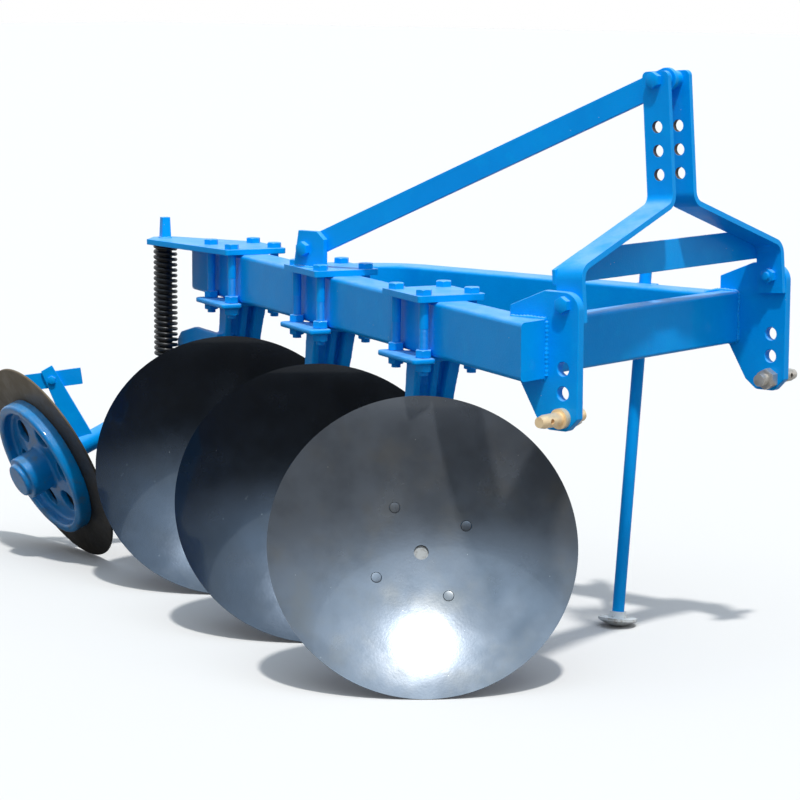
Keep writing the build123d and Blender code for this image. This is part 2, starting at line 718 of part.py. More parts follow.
def disc_hub(number):
    """The turning hub: a flange with a face that fits the dish, a neck and the shaft in the housing."""
    rim = disc_plane(number)
    seat = BACK_SPHERE + SEAT_GAP
    with BuildPart() as hub:
        with BuildSketch(through_axis(rim)):
            with BuildLine():
                ThreePointArc(
                    (0, dish(0, seat)),
                    (HUB_RADIUS / 2, dish(HUB_RADIUS / 2, seat)),
                    (HUB_RADIUS, dish(HUB_RADIUS, seat)),
                )
                Polyline(
                    (HUB_RADIUS, dish(HUB_RADIUS, seat)),
                    (HUB_RADIUS, -HUB_BACK),
                    (HUB_NECK_D / 2 + HUB_NECK_FLARE, -HUB_BACK),
                    (HUB_NECK_D / 2, -HUB_BACK - HUB_NECK_FLARE),
                    (HUB_NECK_D / 2, -HUB_NECK_BACK),
                    (SHAFT_D / 2, -HUB_NECK_BACK),
                    (SHAFT_D / 2, -SHAFT_BACK),
                    (0, -SHAFT_BACK),
                    (0, dish(0, seat)),
                )
            make_face()
        revolve(axis=Axis(rim.origin, rim.z_dir))
        with BuildSketch(rim):
            with disc_bolt_places():
                Circle(DISC_BOLT_D / 2 + SEAT_GAP)
        extrude(amount=-HUB_NECK_BACK, mode=Mode.SUBTRACT)
    return hub.part


def disc_bolts(number):
    """Four bolts with flush heads in the disc and nuts behind the flange."""
    rim = disc_plane(number)
    head_top = dish(DISC_BOLT_CIRCLE, SPHERE)
    with BuildPart() as bolts:
        with BuildSketch(rim.offset(head_top)):
            with disc_bolt_places():
                Circle(DISC_BOLT_HEAD_D / 2)
        extrude(amount=-DISC_THICKNESS / 2)
        with BuildSketch(rim.offset(head_top)):
            with disc_bolt_places():
                Circle(DISC_BOLT_D / 2)
        extrude(amount=-HUB_BACK - head_top - DISC_NUT_HEIGHT - DISC_BOLT_TAIL)
        with BuildSketch(rim.offset(-HUB_BACK)):
            with disc_bolt_places():
                RegularPolygon(DISC_NUT_AF / 2, 6, major_radius=False)
        extrude(amount=-DISC_NUT_HEIGHT)
    return bolts.part


# Cast standards: a flange with two bolt lugs, a ribbed leg that bows to the rear, a tilted bearing housing
# Each row: height above the floor, rear of the clamp, right of it, length and width of the leg
LEG_SECTIONS = (
    (BEAM_BOTTOM - FLANGE_THICKNESS, 6.0, 0.0, 84.0, 100.0),
    (430.0, 17.0, 19.0, 60.0, 80.0),
    (258.0, -2.0, 37.0, 48.0, 72.0),
)


def standard(number):
    """One casting; the rear one also carries the guide of the furrow wheel's shank."""
    frame = clamp_frame(number)
    rim = disc_plane(number)
    with BuildPart() as casting:
        for height, rear, right, length, width in LEG_SECTIONS:
            with BuildSketch(shifted(frame, rear, right, height)):
                Rectangle(LEG_WALL, width)
                Rectangle(length * LEG_MIDDLE_SHARE, LEG_WALL)
                with Locations((0, (width - LEG_WALL) / 2)):
                    Rectangle(length * LEG_RIGHT_SHARE, LEG_WALL)
                with Locations((0, -(width - LEG_LEFT_WALL) / 2)):
                    Rectangle(length, LEG_LEFT_WALL)
        loft()
        with BuildSketch(shifted(frame, 0, 0, BEAM_BOTTOM - FLANGE_THICKNESS)):
            Rectangle(FLANGE_MIDDLE, FLANGE_WIDTH - FLANGE_LUG_WIDTH)
            with GridLocations(0, FLANGE_WIDTH - FLANGE_LUG_WIDTH, 1, 2):
                RectangleRounded(FLANGE_LENGTH, FLANGE_LUG_WIDTH, FLANGE_CORNER)
            with GridLocations(*CLAMP_BOLT_GRID, 2, 2):
                Circle(CLAMP_BOLT_D / 2 + BOLT_CLEARANCE, mode=Mode.SUBTRACT)
        extrude(amount=FLANGE_THICKNESS)
        with BuildSketch(rim.offset(-HOUSING_FRONT)):
            Circle(HOUSING_D / 2)
        extrude(amount=HOUSING_FRONT - HOUSING_BACK)
        with BuildSketch(rim.offset(-HOUSING_BACK)):
            Circle(HOUSING_D / 2 - HOUSING_CAP_STEP)
        extrude(amount=-HOUSING_CAP, taper=HOUSING_CAP_SLOPE)
        if number == LAST_CLAMP:
            guide_side = shifted(frame, 0, GUIDE_PLATE_RIGHT + GUIDE_PLATE_THICKNESS / 2, 0)
            with BuildSketch(Plane(origin=guide_side.origin, x_dir=frame.x_dir, z_dir=-frame.y_dir)):
                with BuildLine():
                    Polyline(
                        (0, GUIDE_ARM_TOP[0][1]),
                        *((SHANK_BEHIND_CLAMP - ahead, height) for ahead, height in GUIDE_ARM_TOP),
                        (SHANK_BEHIND_CLAMP, GUIDE_BOTTOM),
                        (SHANK_BEHIND_CLAMP - GUIDE_ARM_BOTTOM, GUIDE_BOTTOM),
                        (0, GUIDE_ARM_ROOT_Z),
                        close=True,
                    )
                make_face()
            extrude(amount=GUIDE_PLATE_THICKNESS)
            with BuildSketch(Plane(origin=guide_side.origin, x_dir=frame.x_dir, z_dir=-frame.y_dir)):
                with Locations((GUIDE_BOSS_LENGTH / 2, GUIDE_BOSS_Z)):
                    Rectangle(GUIDE_BOSS_LENGTH, GUIDE_BOSS_HEIGHT)
            extrude(amount=GUIDE_PLATE_RIGHT - LEG_WALL)
            with BuildSketch(shifted(frame, SHANK_BEHIND_CLAMP, SHANK_RIGHT, GUIDE_BOTTOM)):
                Circle(GUIDE_D / 2)
            extrude(amount=GUIDE_TOP - GUIDE_BOTTOM)
            with BuildSketch(shifted(frame, SHANK_BEHIND_CLAMP, SHANK_RIGHT, GUIDE_BOTTOM)):
                Circle(SHANK_D / 2 + SEAT_GAP)
            extrude(amount=GUIDE_TOP - GUIDE_BOTTOM, mode=Mode.SUBTRACT)
        with BuildSketch(rim.offset(-HOUSING_FRONT)):
            Circle(SHAFT_D / 2 + SHAFT_CLEARANCE)
        extrude(amount=HOUSING_FRONT - SHAFT_BACK - HOUSING_END_WALL, mode=Mode.SUBTRACT)
    return casting.part


for number in range(CLAMP_COUNT):
    finish(disc(number), f"disc_{number + 1}")
    finish(disc_hub(number), f"disc_hub_{number + 1}")
    finish(disc_bolts(number), f"disc_bolts_{number + 1}")
    finish(standard(number), f"disc_standard_{number + 1}")


# Furrow wheel: a thin flange that runs in the furrow wall and a dished cast centre
WHEEL_Z = WHEEL_RADIUS * cos(radians(WHEEL_TILT)) - WHEEL_THICKNESS * sin(radians(WHEEL_TILT)) / 2
WHEEL = aimed(hitch_point(WHEEL_X, WHEEL_Y, WHEEL_Z), WHEEL_AZIMUTH, WHEEL_TILT)
WHEEL_AXIS = Axis(WHEEL.origin, WHEEL.z_dir)
with BuildPart() as furrow_wheel_flange:
    with BuildSketch(WHEEL.offset(-WHEEL_THICKNESS / 2)):
        Circle(WHEEL_RADIUS)
        Circle(WHEEL_HUB_D / 2 + SEAT_GAP, mode=Mode.SUBTRACT)
    extrude(amount=WHEEL_THICKNESS)
finish(furrow_wheel_flange.part, "furrow_wheel_flange")

wheel_seat = WHEEL_THICKNESS / 2 + SEAT_GAP
web_front = wheel_seat + WHEEL_WEB
axle_bore = AXLE_D / 2 + SHAFT_CLEARANCE
with BuildPart() as furrow_wheel_centre:
    with BuildSketch(through_axis(WHEEL)):
        with BuildLine():
            FilletPolyline(
                (WHEEL_RIM_OUTER, wheel_seat),
                (WHEEL_RIM_OUTER, wheel_seat + WHEEL_RIM_WIDTH),
                (WHEEL_RIM_INNER, wheel_seat + WHEEL_RIM_WIDTH),
                (WHEEL_RIM_INNER, web_front),
                (WHEEL_HUB_D / 2, web_front + WHEEL_WEB_RISE),
                (WHEEL_HUB_D / 2, (web_front + WHEEL_HUB_OUTER) / 2),
                radius=WHEEL_CAST_ROUND,
            )
            FilletPolyline(
                (WHEEL_HUB_D / 2, (web_front + WHEEL_HUB_OUTER) / 2),
                (WHEEL_HUB_D / 2, WHEEL_HUB_OUTER),
                (WHEEL_CAP_D / 2, WHEEL_HUB_OUTER),
                (WHEEL_CAP_D / 2, WHEEL_CAP_OUTER),
                (0, WHEEL_CAP_OUTER),
                radius=WHEEL_CAP_ROUND,
            )
            Polyline(
                (0, WHEEL_CAP_OUTER),
                (0, AXLE_END + AXLE_END_GAP),
                (axle_bore, AXLE_END + AXLE_END_GAP),
                (axle_bore, -WHEEL_HUB_INNER),
                (WHEEL_HUB_D / 2, -WHEEL_HUB_INNER),
                (WHEEL_HUB_D / 2, wheel_seat),
                (WHEEL_RIM_OUTER, wheel_seat),
            )
        make_face()
    revolve(axis=WHEEL_AXIS)
    with BuildSketch(WHEEL):
        with PolarLocations(WHEEL_HOLE_CIRCLE, WHEEL_HOLE_COUNT):
            Circle(WHEEL_HOLE_D / 2)
    extrude(amount=WHEEL_HUB_OUTER, mode=Mode.SUBTRACT)
finish(furrow_wheel_centre.part, "furrow_wheel_centre")

# Shank of the furrow wheel, its slanting arm and the axle
shank_line = shifted(BEAM, SHANK_AT, SHANK_RIGHT, 0)
shank_foot = shifted(shank_line, 0, 0, SHANK_FOOT_Z)
arm_bend = WHEEL.from_local_coords(Vector(0, 0, -ARM_BEND_AT))
arm_line = shank_foot.origin - arm_bend
with BuildPart() as wheel_shank:
    with BuildSketch(shank_foot):
        Circle(SHANK_D / 2)
    extrude(amount=CLAMP_TOP - SHANK_FOOT_Z)
    with BuildSketch(shifted(shank_line, 0, 0, SPRING_BOTTOM - COLLAR_HEIGHT)):
        Circle(COLLAR_D / 2)
    extrude(amount=COLLAR_HEIGHT)
    with BuildSketch(shifted(shank_line, 0, 0, CLAMP_TOP)):
        RectangleRounded(STUB_WIDTH, STUB_WIDTH, STUB_CORNER)
    with BuildSketch(shifted(shank_line, 0, 0, STUB_TOP)):
        RectangleRounded(STUB_TIP_WIDTH, STUB_TIP_WIDTH, STUB_CORNER)
    loft()
    with BuildSketch(Plane(origin=arm_bend, z_dir=arm_line)):
        Circle(ARM_D / 2)
    extrude(amount=arm_line.length)
    with Locations(shank_foot.origin, arm_bend):
        Sphere(ARM_D / 2)
    with BuildSketch(WHEEL.offset(-ARM_BEND_AT)):
        Circle(ARM_D / 2)
    extrude(amount=ARM_BEND_AT - WHEEL_HUB_INNER - ARM_HUB_GAP)
    with BuildSketch(WHEEL.offset(-ARM_BEND_AT)):
        Circle(AXLE_D / 2)
    extrude(amount=ARM_BEND_AT + AXLE_END)
finish(wheel_shank.part, "wheel_shank")

# Coil spring between the clamp plate and the shank's collar
SPRING_RADIUS = (SPRING_D - SPRING_WIRE) / 2
spring_rise = BEAM_TOP - SPRING_BOTTOM - SPRING_WIRE - 2 * SEAT_GAP
spring_base = shifted(shank_line, 0, 0, SPRING_BOTTOM + SPRING_WIRE / 2 + SEAT_GAP)
with BuildPart() as wheel_spring:
    with BuildLine(spring_base) as coil:
        Helix(pitch=spring_rise / SPRING_TURNS, height=spring_rise, radius=SPRING_RADIUS)
    with BuildSketch(Plane(origin=coil.line @ 0, z_dir=coil.line % 0)):
        Circle(SPRING_WIRE / 2)
    sweep(path=coil.line, is_frenet=True)
finish(wheel_spring.part, "wheel_spring")

# Scraper: an arm from the wheel's arm up behind the wheel and a blade bolted across it
scraper_root = arm_bend + arm_line * SCRAPER_AT
SCRAPER = Plane(
    origin=scraper_root,
    x_dir=(-sin(radians(SCRAPER_AZIMUTH)), cos(radians(SCRAPER_AZIMUTH)), 0),
    z_dir=(cos(radians(SCRAPER_AZIMUTH)), sin(radians(SCRAPER_AZIMUTH)), 0),
)
SCRAPER_ARM = Location((0, 0, 0), (0, 0, SCRAPER_ARM_LEAN))
blade_at = (SCRAPER_ARM * Location((SCRAPER_BLADE_ACROSS, SCRAPER_BLADE_AT, 0))).position
with BuildPart() as scraper_arm:
    with BuildSketch(SCRAPER.offset(-SCRAPER_THICKNESS / 2)):
        with Locations(SCRAPER_ARM):
            with BuildLine():
                Polyline(
                    (SCRAPER_ARM_EDGE, 0),
                    (SCRAPER_ARM_EDGE, SCRAPER_ARM_LENGTH),
                    (SCRAPER_ARM_EDGE - SCRAPER_ARM_TIP, SCRAPER_ARM_LENGTH),
                    (SCRAPER_ARM_EDGE - SCRAPER_ARM_FOOT, 0),
                    close=True,
                )
            make_face()
        with Locations(blade_at):
            Circle(SCRAPER_BOLT_D / 2 + SEAT_GAP, mode=Mode.SUBTRACT)
    extrude(amount=SCRAPER_THICKNESS)
    with BuildSketch(Plane(origin=arm_bend, z_dir=arm_line)):
        Circle(ARM_D / 2 + SEAT_GAP / 3)
    extrude(amount=arm_line.length, mode=Mode.SUBTRACT)
finish(scraper_arm.part.solids().sort_by(Axis.Z)[-1], "scraper_arm")

with BuildPart() as scraper_blade:
    with BuildSketch(SCRAPER.offset(SCRAPER_THICKNESS / 2)):
        with Locations(Location(blade_at, (0, 0, SCRAPER_BLADE_LEAN))):
            with Locations(((SCRAPER_BLADE_RIGHT - SCRAPER_BLADE_LEFT) / 2, 0)):
                Rectangle(SCRAPER_BLADE_RIGHT + SCRAPER_BLADE_LEFT, SCRAPER_BLADE_WIDTH)
            Circle(SCRAPER_BOLT_D / 2 + SEAT_GAP, mode=Mode.SUBTRACT)
    extrude(amount=SCRAPER_BLADE_THICKNESS)
finish(scraper_blade.part, "scraper_blade")
scraper_bolt = through_bolt(
    SCRAPER.from_local_coords(blade_at + Vector(0, 0, SCRAPER_THICKNESS / 2 + SCRAPER_BLADE_THICKNESS)),
    -SCRAPER.z_dir,
    SCRAPER.x_dir,
    SCRAPER_THICKNESS + SCRAPER_BLADE_THICKNESS,
    SCRAPER_BOLT_D,
    SCRAPER_NUT_AF,
    SCRAPER_HEAD_HEIGHT,
    SCRAPER_NUT_HEIGHT,
    SCRAPER_BOLT_TAIL,
)
finish(scraper_bolt, "scraper_bolt")

# Parking stand: a rod with a domed foot that slides in a sleeve on the brace tube
foot_centre = hitch_point(STAND_X, STAND_Y, STAND_FOOT_RADIUS)
sleeve_centre = hitch_point(STAND_SLEEVE_X, STAND_SLEEVE_Y, STAND_SLEEVE_Z)
rod_up = (sleeve_centre - foot_centre).normalized()
STAND = Plane(origin=foot_centre - rod_up * STAND_FOOT_RADIUS, x_dir=rod_up.cross(Vector(0, 1, 0)), z_dir=rod_up)
foot_edge = STAND_FOOT_RADIUS - sqrt(STAND_FOOT_RADIUS**2 - (STAND_FOOT_D / 2) ** 2)
with BuildPart() as stand_foot:
    with BuildSketch(through_axis(STAND)):
        with BuildLine():
            half_way = STAND_FOOT_D / 4
            half_rise = STAND_FOOT_RADIUS - sqrt(STAND_FOOT_RADIUS**2 - half_way**2)
            ThreePointArc((0, 0), (half_way, half_rise), (STAND_FOOT_D / 2, foot_edge))
            Polyline(
                (STAND_FOOT_D / 2, foot_edge),
                (STAND_FOOT_D / 2, foot_edge + STAND_FOOT_EDGE),
                (STAND_BOSS_D / 2, foot_edge + STAND_FOOT_EDGE),
                (STAND_BOSS_D / 2 - STAND_BOSS_TAPER, STAND_BOSS_TOP),
                (STAND_ROD_D / 2 + SEAT_GAP / 3, STAND_BOSS_TOP),
                (STAND_ROD_D / 2 + SEAT_GAP / 3, foot_edge),
                (0, foot_edge),
                (0, 0),
            )
        make_face()
    revolve(axis=Axis(STAND.origin, STAND.z_dir))
finish(stand_foot.part, "stand_foot")

with BuildPart() as stand_rod:
    with BuildSketch(STAND.offset(foot_edge)):
        Circle(STAND_ROD_D / 2)
    extrude(amount=STAND_ROD_LENGTH)
    chamfer(stand_rod.faces().sort_by(Axis.Z)[-1].edges(), length=STAND_ROD_CHAMFER)
finish(stand_rod.part, "stand_rod")


def rod_y(z):
    """The rod's place across the machine at a height."""
    return foot_centre.Y + (z - foot_centre.Z) * rod_up.Y / rod_up.Z


BRACE_FACE_Y = HITCH_Y + BRACE_Y + BRACE_WIDTH / 2
sleeve_reach = STAND_ROD_D / 2 + STAND_SLEEVE_WALL
with BuildPart() as stand_sleeve:
    for end in (-1, 1):
        height = STAND_SLEEVE_Z + end * STAND_SLEEVE_HEIGHT / 2
        depth = rod_y(height) + sleeve_reach - BRACE_FACE_Y
        with BuildSketch(Plane(origin=(sleeve_centre.X, BRACE_FACE_Y, height))):
            with Locations((0, depth / 2)):
                Rectangle(STAND_SLEEVE_LENGTH, depth)
    loft()
    fillet(stand_sleeve.faces().sort_by(Axis.Y)[-1].edges().sort_by(Axis.X)[0], radius=STAND_SLEEVE_ROUND)
    fillet(stand_sleeve.faces().sort_by(Axis.Y)[-1].edges().sort_by(Axis.X)[-1], radius=STAND_SLEEVE_ROUND)
    with BuildSketch(STAND):
        Circle(STAND_ROD_D / 2 + SEAT_GAP)
    extrude(amount=2 * STAND_SLEEVE_Z, mode=Mode.SUBTRACT)
finish(stand_sleeve.part, "stand_sleeve")
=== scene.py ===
from math import ceil, cos, pi, radians, sin, sqrt, tan

import bmesh
import bpy
from mathutils import Matrix, Vector


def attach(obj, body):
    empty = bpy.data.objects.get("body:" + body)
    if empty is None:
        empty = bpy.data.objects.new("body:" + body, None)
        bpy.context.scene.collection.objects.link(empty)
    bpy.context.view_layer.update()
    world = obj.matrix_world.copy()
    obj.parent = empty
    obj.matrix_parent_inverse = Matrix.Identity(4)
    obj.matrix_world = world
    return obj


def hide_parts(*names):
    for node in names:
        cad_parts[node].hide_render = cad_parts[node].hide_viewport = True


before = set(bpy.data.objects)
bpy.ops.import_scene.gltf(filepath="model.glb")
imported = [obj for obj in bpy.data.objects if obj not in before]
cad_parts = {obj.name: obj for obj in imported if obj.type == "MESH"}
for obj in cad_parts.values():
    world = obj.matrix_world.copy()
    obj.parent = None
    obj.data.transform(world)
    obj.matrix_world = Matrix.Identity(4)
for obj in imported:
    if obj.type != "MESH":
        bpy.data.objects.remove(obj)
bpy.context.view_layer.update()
scene = bpy.context.scene
scene.view_settings.view_transform = "Standard"

# Sizes in metres, the same as the part's, apart from the scraper arm's lean and its place before the blade
UP = Vector((0, 0, 1))
HITCH = Vector((1.073, 0.084, 0.0))
PLATE_OUTER = 0.3985
PLATE_INNER = 0.3785
PLATE_REAR = -0.136
PIN_HEIGHT = 0.608
BEAM_ANGLE = radians(25.63)
BEAM_BACK = Vector((-cos(BEAM_ANGLE), sin(BEAM_ANGLE), 0))
BEAM_RIGHT = UP.cross(BEAM_BACK)
BEAM_ORIGIN = HITCH + Vector((-0.0276, -0.4462, 0))
BEAM_BOTTOM = 0.686
BEAM_TOP = 0.806
BEAM_HALF = 0.040
BEAM_MITRE = -0.042
CROSS_BOTTOM = 0.681
CROSS_TOP = 0.796
CLAMP_TOP = 0.820
CLAMP_FIRST = 0.487
CLAMP_PITCH = 0.5577
CLAMP_AHEAD = 0.070
CLAMP_SIDE = 0.057
CLAMP_BOLT = 0.021
CLAMP_NUT_ACROSS = 0.032
CLAMP_NUT = 0.017
CLAMP_HEAD = 0.013
CLAMP_THREAD_PITCH = 0.0025
FLANGE_BOTTOM = 0.673
MAST_LEAN = radians(4.2)
MAST_UP = Vector((-sin(MAST_LEAN), 0, cos(MAST_LEAN)))
MAST_FOOT = HITCH + Vector((0.004, 0, 0.800))
TOP_LINK_HOLES = (0.282, 0.332, 0.382)
TOP_LINK_HOLE_RADIUS = 0.0128
MAST_BOLT_HEIGHT = 0.480
MAST_FOOT_BOLT_HEIGHT = 0.039
STRAP_INNER = 0.033
STRAP_OUTER = 0.045
DISC_RADIUS = 0.330
DISC_SPHERE = 0.858
DISC_STEEL = 0.006
DISC_HOLE = 0.016
DISC_BOLT_CIRCLE = 0.112
DISC_BOLT_START = radians(30)
DISC_AHEAD_OF_CLAMP = 0.1668
DISC_BESIDE_BEAM = 0.1015
DISC_HEIGHT = 0.29993
DISC_AZIMUTH = radians(-47.75)
DISC_TILT = radians(25)
HUB_BACK = 0.085
WHEEL_RADIUS = 0.270
WHEEL_STEEL = 0.006
WHEEL_CENTRE = HITCH + Vector((-1.925, 0.012, 0.24899))
WHEEL_AZIMUTH = radians(-108.2)
WHEEL_TILT = radians(-23.4)
SHANK_AT = 1.885
SHANK_SIDE = 0.102
WHEEL_HUB = 0.056
SCRAPER_AZIMUTH = radians(-50.4)
SCRAPER_LEAN = radians(30)
SCRAPER_ALONG_ARM = 0.25
SCRAPER_BOLT_LEFT = 0.10822
SCRAPER_BOLT_UP = 0.15345
SCRAPER_ARM_BACK = 0.0132
SCRAPER_ARM_FRONT = 0.0210


def beam_point(along, right, height):
    """A point beside or in the beam, measured from its front end to the rear."""
    return BEAM_ORIGIN + BEAM_BACK * along + BEAM_RIGHT * right + UP * height


def mast_point(left, height):
    """A point on the leaning mast."""
    return MAST_FOOT + Vector((0, left, 0)) + MAST_UP * height


def turned_to(origin, azimuth, tilt):
    """The place of a wheel or disc: its local z axis is the axis it turns about."""
    level = Vector((-sin(azimuth), cos(azimuth), 0))
    axis = Vector((cos(azimuth) * cos(tilt), sin(azimuth) * cos(tilt), sin(tilt)))
    across = axis.cross(level)
    return Matrix.Translation(origin) @ Matrix((level, across, axis)).transposed().to_4x4()


def disc_middle(number):
    """The middle of a disc's rim, counted from the front."""
    return beam_point(CLAMP_FIRST + CLAMP_PITCH * number - DISC_AHEAD_OF_CLAMP, DISC_BESIDE_BEAM, DISC_HEIGHT)


DISC_PLACES = [turned_to(disc_middle(number), DISC_AZIMUTH, DISC_TILT) for number in range(3)]
WHEEL_PLACE = turned_to(WHEEL_CENTRE, WHEEL_AZIMUTH, WHEEL_TILT)


def dish(radius):
    """How far along its axis the dish lies from the rim's plane."""
    return sqrt(DISC_SPHERE**2 - DISC_RADIUS**2) - sqrt(DISC_SPHERE**2 - radius**2)


# Camera, at the photograph's viewing angle
camera_data = bpy.data.cameras.new("camera")
camera_data.lens = 129.30
camera_data.sensor_width = 36.0
camera = bpy.data.objects.new("camera", camera_data)
scene.collection.objects.link(camera)
scene.camera = camera
eye = Vector((4.4754, -4.9484, 1.4929))
looked_at = Vector((0.3244, 0.0766, 0.5287))
aim = (looked_at - eye).to_track_quat("-Z", "Y").to_matrix().to_4x4()
camera.matrix_world = Matrix.Translation(eye) @ aim @ Matrix.Rotation(0.00495, 4, "Z")


def sun(name, direction, strength, angle, colour):
    """A lamp that shines evenly from one direction."""
    lamp = bpy.data.lights.new(name, "SUN")
    lamp.energy = strength
    lamp.angle = radians(angle)
    lamp.color = colour
    holder = bpy.data.objects.new(name, lamp)
    scene.collection.objects.link(holder)
    holder.matrix_world = Vector(direction).to_track_quat("Z", "Y").to_matrix().to_4x4()
    return holder


# Node building
def joined(tree, kind, operation, *values):
    """Adds a node whose inputs are other nodes' sockets or plain numbers, and gives its first output."""
    node = tree.nodes.new(kind)
    if operation:
        node.operation = operation
    for socket, value in zip(node.inputs, values):
        if isinstance(value, bpy.types.NodeSocket):
            tree.links.new(value, socket)
        elif value is not None:
            socket.default_value = value
    return node.outputs[0]


def reckon(tree, operation, *values):
    """One step of arithmetic in a node tree."""
    return joined(tree, "ShaderNodeMath", operation, *values)


def ramped(tree, value, low, high):
    """Spreads the part of a value between two limits over 0 to 1."""
    node = tree.nodes.new("ShaderNodeMapRange")
    node.interpolation_type = "SMOOTHSTEP"
    for label, given in (("Value", value), ("From Min", low), ("From Max", high)):
        if isinstance(given, bpy.types.NodeSocket):
            tree.links.new(given, node.inputs[label])
        else:
            node.inputs[label].default_value = given
    return node.outputs["Result"]


def parts_of(tree, vector):
    """The x, y and z outputs of a vector."""
    return joined(tree, "ShaderNodeSeparateXYZ", None, vector).node.outputs


# Light: a bright sun, a wide soft sky patch round it, a weak fill from the front and an even pale room
sun("key_lamp", (0.330, -0.284, 0.900), 2.30, 3.0, (1.0, 0.98, 0.94))
sun("sky_patch", (0.25, -0.30, 0.92), 0.90, 60.0, (0.70, 0.86, 1.0))
front_fill = sun("front_fill", (0.80, -0.45, 0.40), 0.60, 90.0, (1.0, 1.0, 1.0))
front_fill.visible_glossy = False
world = bpy.data.worlds.new("pale_room")
scene.world = world
world.use_nodes = True
air = world.node_tree
ray = air.nodes.new("ShaderNodeLightPath").outputs
toward = air.nodes.new("ShaderNodeTexCoord").outputs["Generated"]
height = parts_of(air, toward)["Z"]
camera_side = (eye - looked_at).to_2d().normalized()
facing_camera = air.nodes.new("ShaderNodeVectorMath")
facing_camera.operation = "DOT_PRODUCT"
air.links.new(toward, facing_camera.inputs[0])
facing_camera.inputs[1].default_value = (*camera_side, 0.0)
low_wall = reckon(air, "SUBTRACT", 1.0, ramped(air, height, 0.44, 0.68))
dark_wall = reckon(air, "MULTIPLY", ramped(air, facing_camera.outputs["Value"], 0.0, 0.45), low_wall)

# Diffuse light is even; mirrors see the white backdrop, a bluish ceiling and a dim wall behind the camera
room = air.nodes["Background"]
room.inputs["Color"].default_value = (0.93, 0.965, 1.0, 1.0)
room.inputs["Strength"].default_value = 0.32
ceiling = air.nodes.new("ShaderNodeMix")
ceiling.data_type = "RGBA"
air.links.new(ramped(air, height, 0.25, 0.75), ceiling.inputs[0])
ceiling.inputs[6].default_value = (1.0, 1.0, 1.0, 1.0)
ceiling.inputs[7].default_value = (0.62, 0.81, 1.0, 1.0)
mirrored = air.nodes.new("ShaderNodeBackground")
air.links.new(ceiling.outputs[2], mirrored.inputs["Color"])
air.links.new(reckon(air, "MULTIPLY_ADD", dark_wall, -0.93, 1.0), mirrored.inputs["Strength"])
shown = air.nodes.new("ShaderNodeBackground")
shown.inputs["Color"].default_value = (1.0, 1.0, 1.0, 1.0)
in_mirror = reckon(air, "MAXIMUM", ray["Is Glossy Ray"], ray["Is Transmission Ray"])
unseen = joined(air, "ShaderNodeMixShader", None, in_mirror, room.outputs[0], mirrored.outputs[0])
seen = joined(air, "ShaderNodeMixShader", None, ray["Is Camera Ray"], unseen, shown.outputs[0])
air.links.new(seen, air.nodes["World Output"].inputs["Surface"])


# Shared effects
def number_input(tree, label, default):
    """Adds a number input to a node group."""
    tree.interface.new_socket(label, in_out="INPUT", socket_type="NodeSocketFloat").default_value = default


def effect(name, inputs):
    """Starts a shared shading effect with number inputs and one value output."""
    tree = bpy.data.node_groups.new(name, "ShaderNodeTree")
    for label, default in inputs:
        number_input(tree, label, default)
    tree.interface.new_socket("Value", in_out="OUTPUT", socket_type="NodeSocketFloat")
    given = tree.nodes.new("NodeGroupInput")
    result = tree.nodes.new("NodeGroupOutput")
    place = tree.nodes.new("ShaderNodeTexCoord").outputs["Object"]
    return tree, given, result, place


def noise(tree, place, scale, detail, roughness=0.5):
    """Soft noise from 0 to 1 at a place."""
    node = tree.nodes.new("ShaderNodeTexNoise")
    tree.links.new(place, node.inputs["Vector"])
    for label, value in (("Scale", scale), ("Detail", detail), ("Roughness", roughness)):
        if isinstance(value, bpy.types.NodeSocket):
            tree.links.new(value, node.inputs[label])
        else:
            node.inputs[label].default_value = value
    return node.outputs["Fac"]


# Blotches: slow changes in how a coat of paint took
blotches, given, result, place = effect("blotches", (("Scale", 6.0), ("Low", 0.35), ("High", 0.65)))
spread = noise(blotches, place, given.outputs["Scale"], 4.0, 0.6)
taken = ramped(blotches, spread, given.outputs["Low"], given.outputs["High"])
blotches.links.new(taken, result.inputs["Value"])

# Settled dust and painted top sheen: a mask on what faces up, broken by noise; what it tints is partly real
# dust and partly a painted highlight on the tops
dust_and_top_sheen, given, result, place = effect("dust_and_top_sheen", (("Scale", 14.0), ("Amount", 0.3)))
facing_up = parts_of(dust_and_top_sheen, dust_and_top_sheen.nodes.new("ShaderNodeNewGeometry").outputs["Normal"])["Z"]
lying = ramped(dust_and_top_sheen, facing_up, 0.35, 1.0)
patchy = ramped(dust_and_top_sheen, noise(dust_and_top_sheen, place, given.outputs["Scale"], 6.0, 0.65), 0.10, 0.85)
full_dust_and_sheen = reckon(dust_and_top_sheen, "MULTIPLY", lying, patchy)
some_dust_and_sheen = reckon(dust_and_top_sheen, "MULTIPLY", full_dust_and_sheen, given.outputs["Amount"])
dust_and_top_sheen.links.new(some_dust_and_sheen, result.inputs["Value"])

# Specks: small scattered dots
specks, given, result, place = effect("specks", (("Scale", 60.0), ("Size", 0.10), ("Share", 0.35)))
cells = specks.nodes.new("ShaderNodeTexVoronoi")
specks.links.new(place, cells.inputs["Vector"])
specks.links.new(given.outputs["Scale"], cells.inputs["Scale"])
near_dot = reckon(specks, "LESS_THAN", cells.outputs["Distance"], given.outputs["Size"])
lot = joined(specks, "ShaderNodeSeparateColor", None, cells.outputs["Color"])
chosen = reckon(specks, "LESS_THAN", lot, given.outputs["Share"])
specks.links.new(reckon(specks, "MULTIPLY", near_dot, chosen), result.inputs["Value"])

# Grain: fine height for brushed paint or a cast skin
grain_sizes = (("Scale", 300.0), ("Coarse scale", 40.0), ("Coarse share", 0.4))
grain, given, result, place = effect("grain", grain_sizes)
fine = noise(grain, place, given.outputs["Scale"], 3.0)
coarse = noise(grain, place, given.outputs["Coarse scale"], 3.0)
coarse_part = reckon(grain, "MULTIPLY", coarse, given.outputs["Coarse share"])
grain.links.new(reckon(grain, "ADD", fine, coarse_part), result.inputs["Value"])


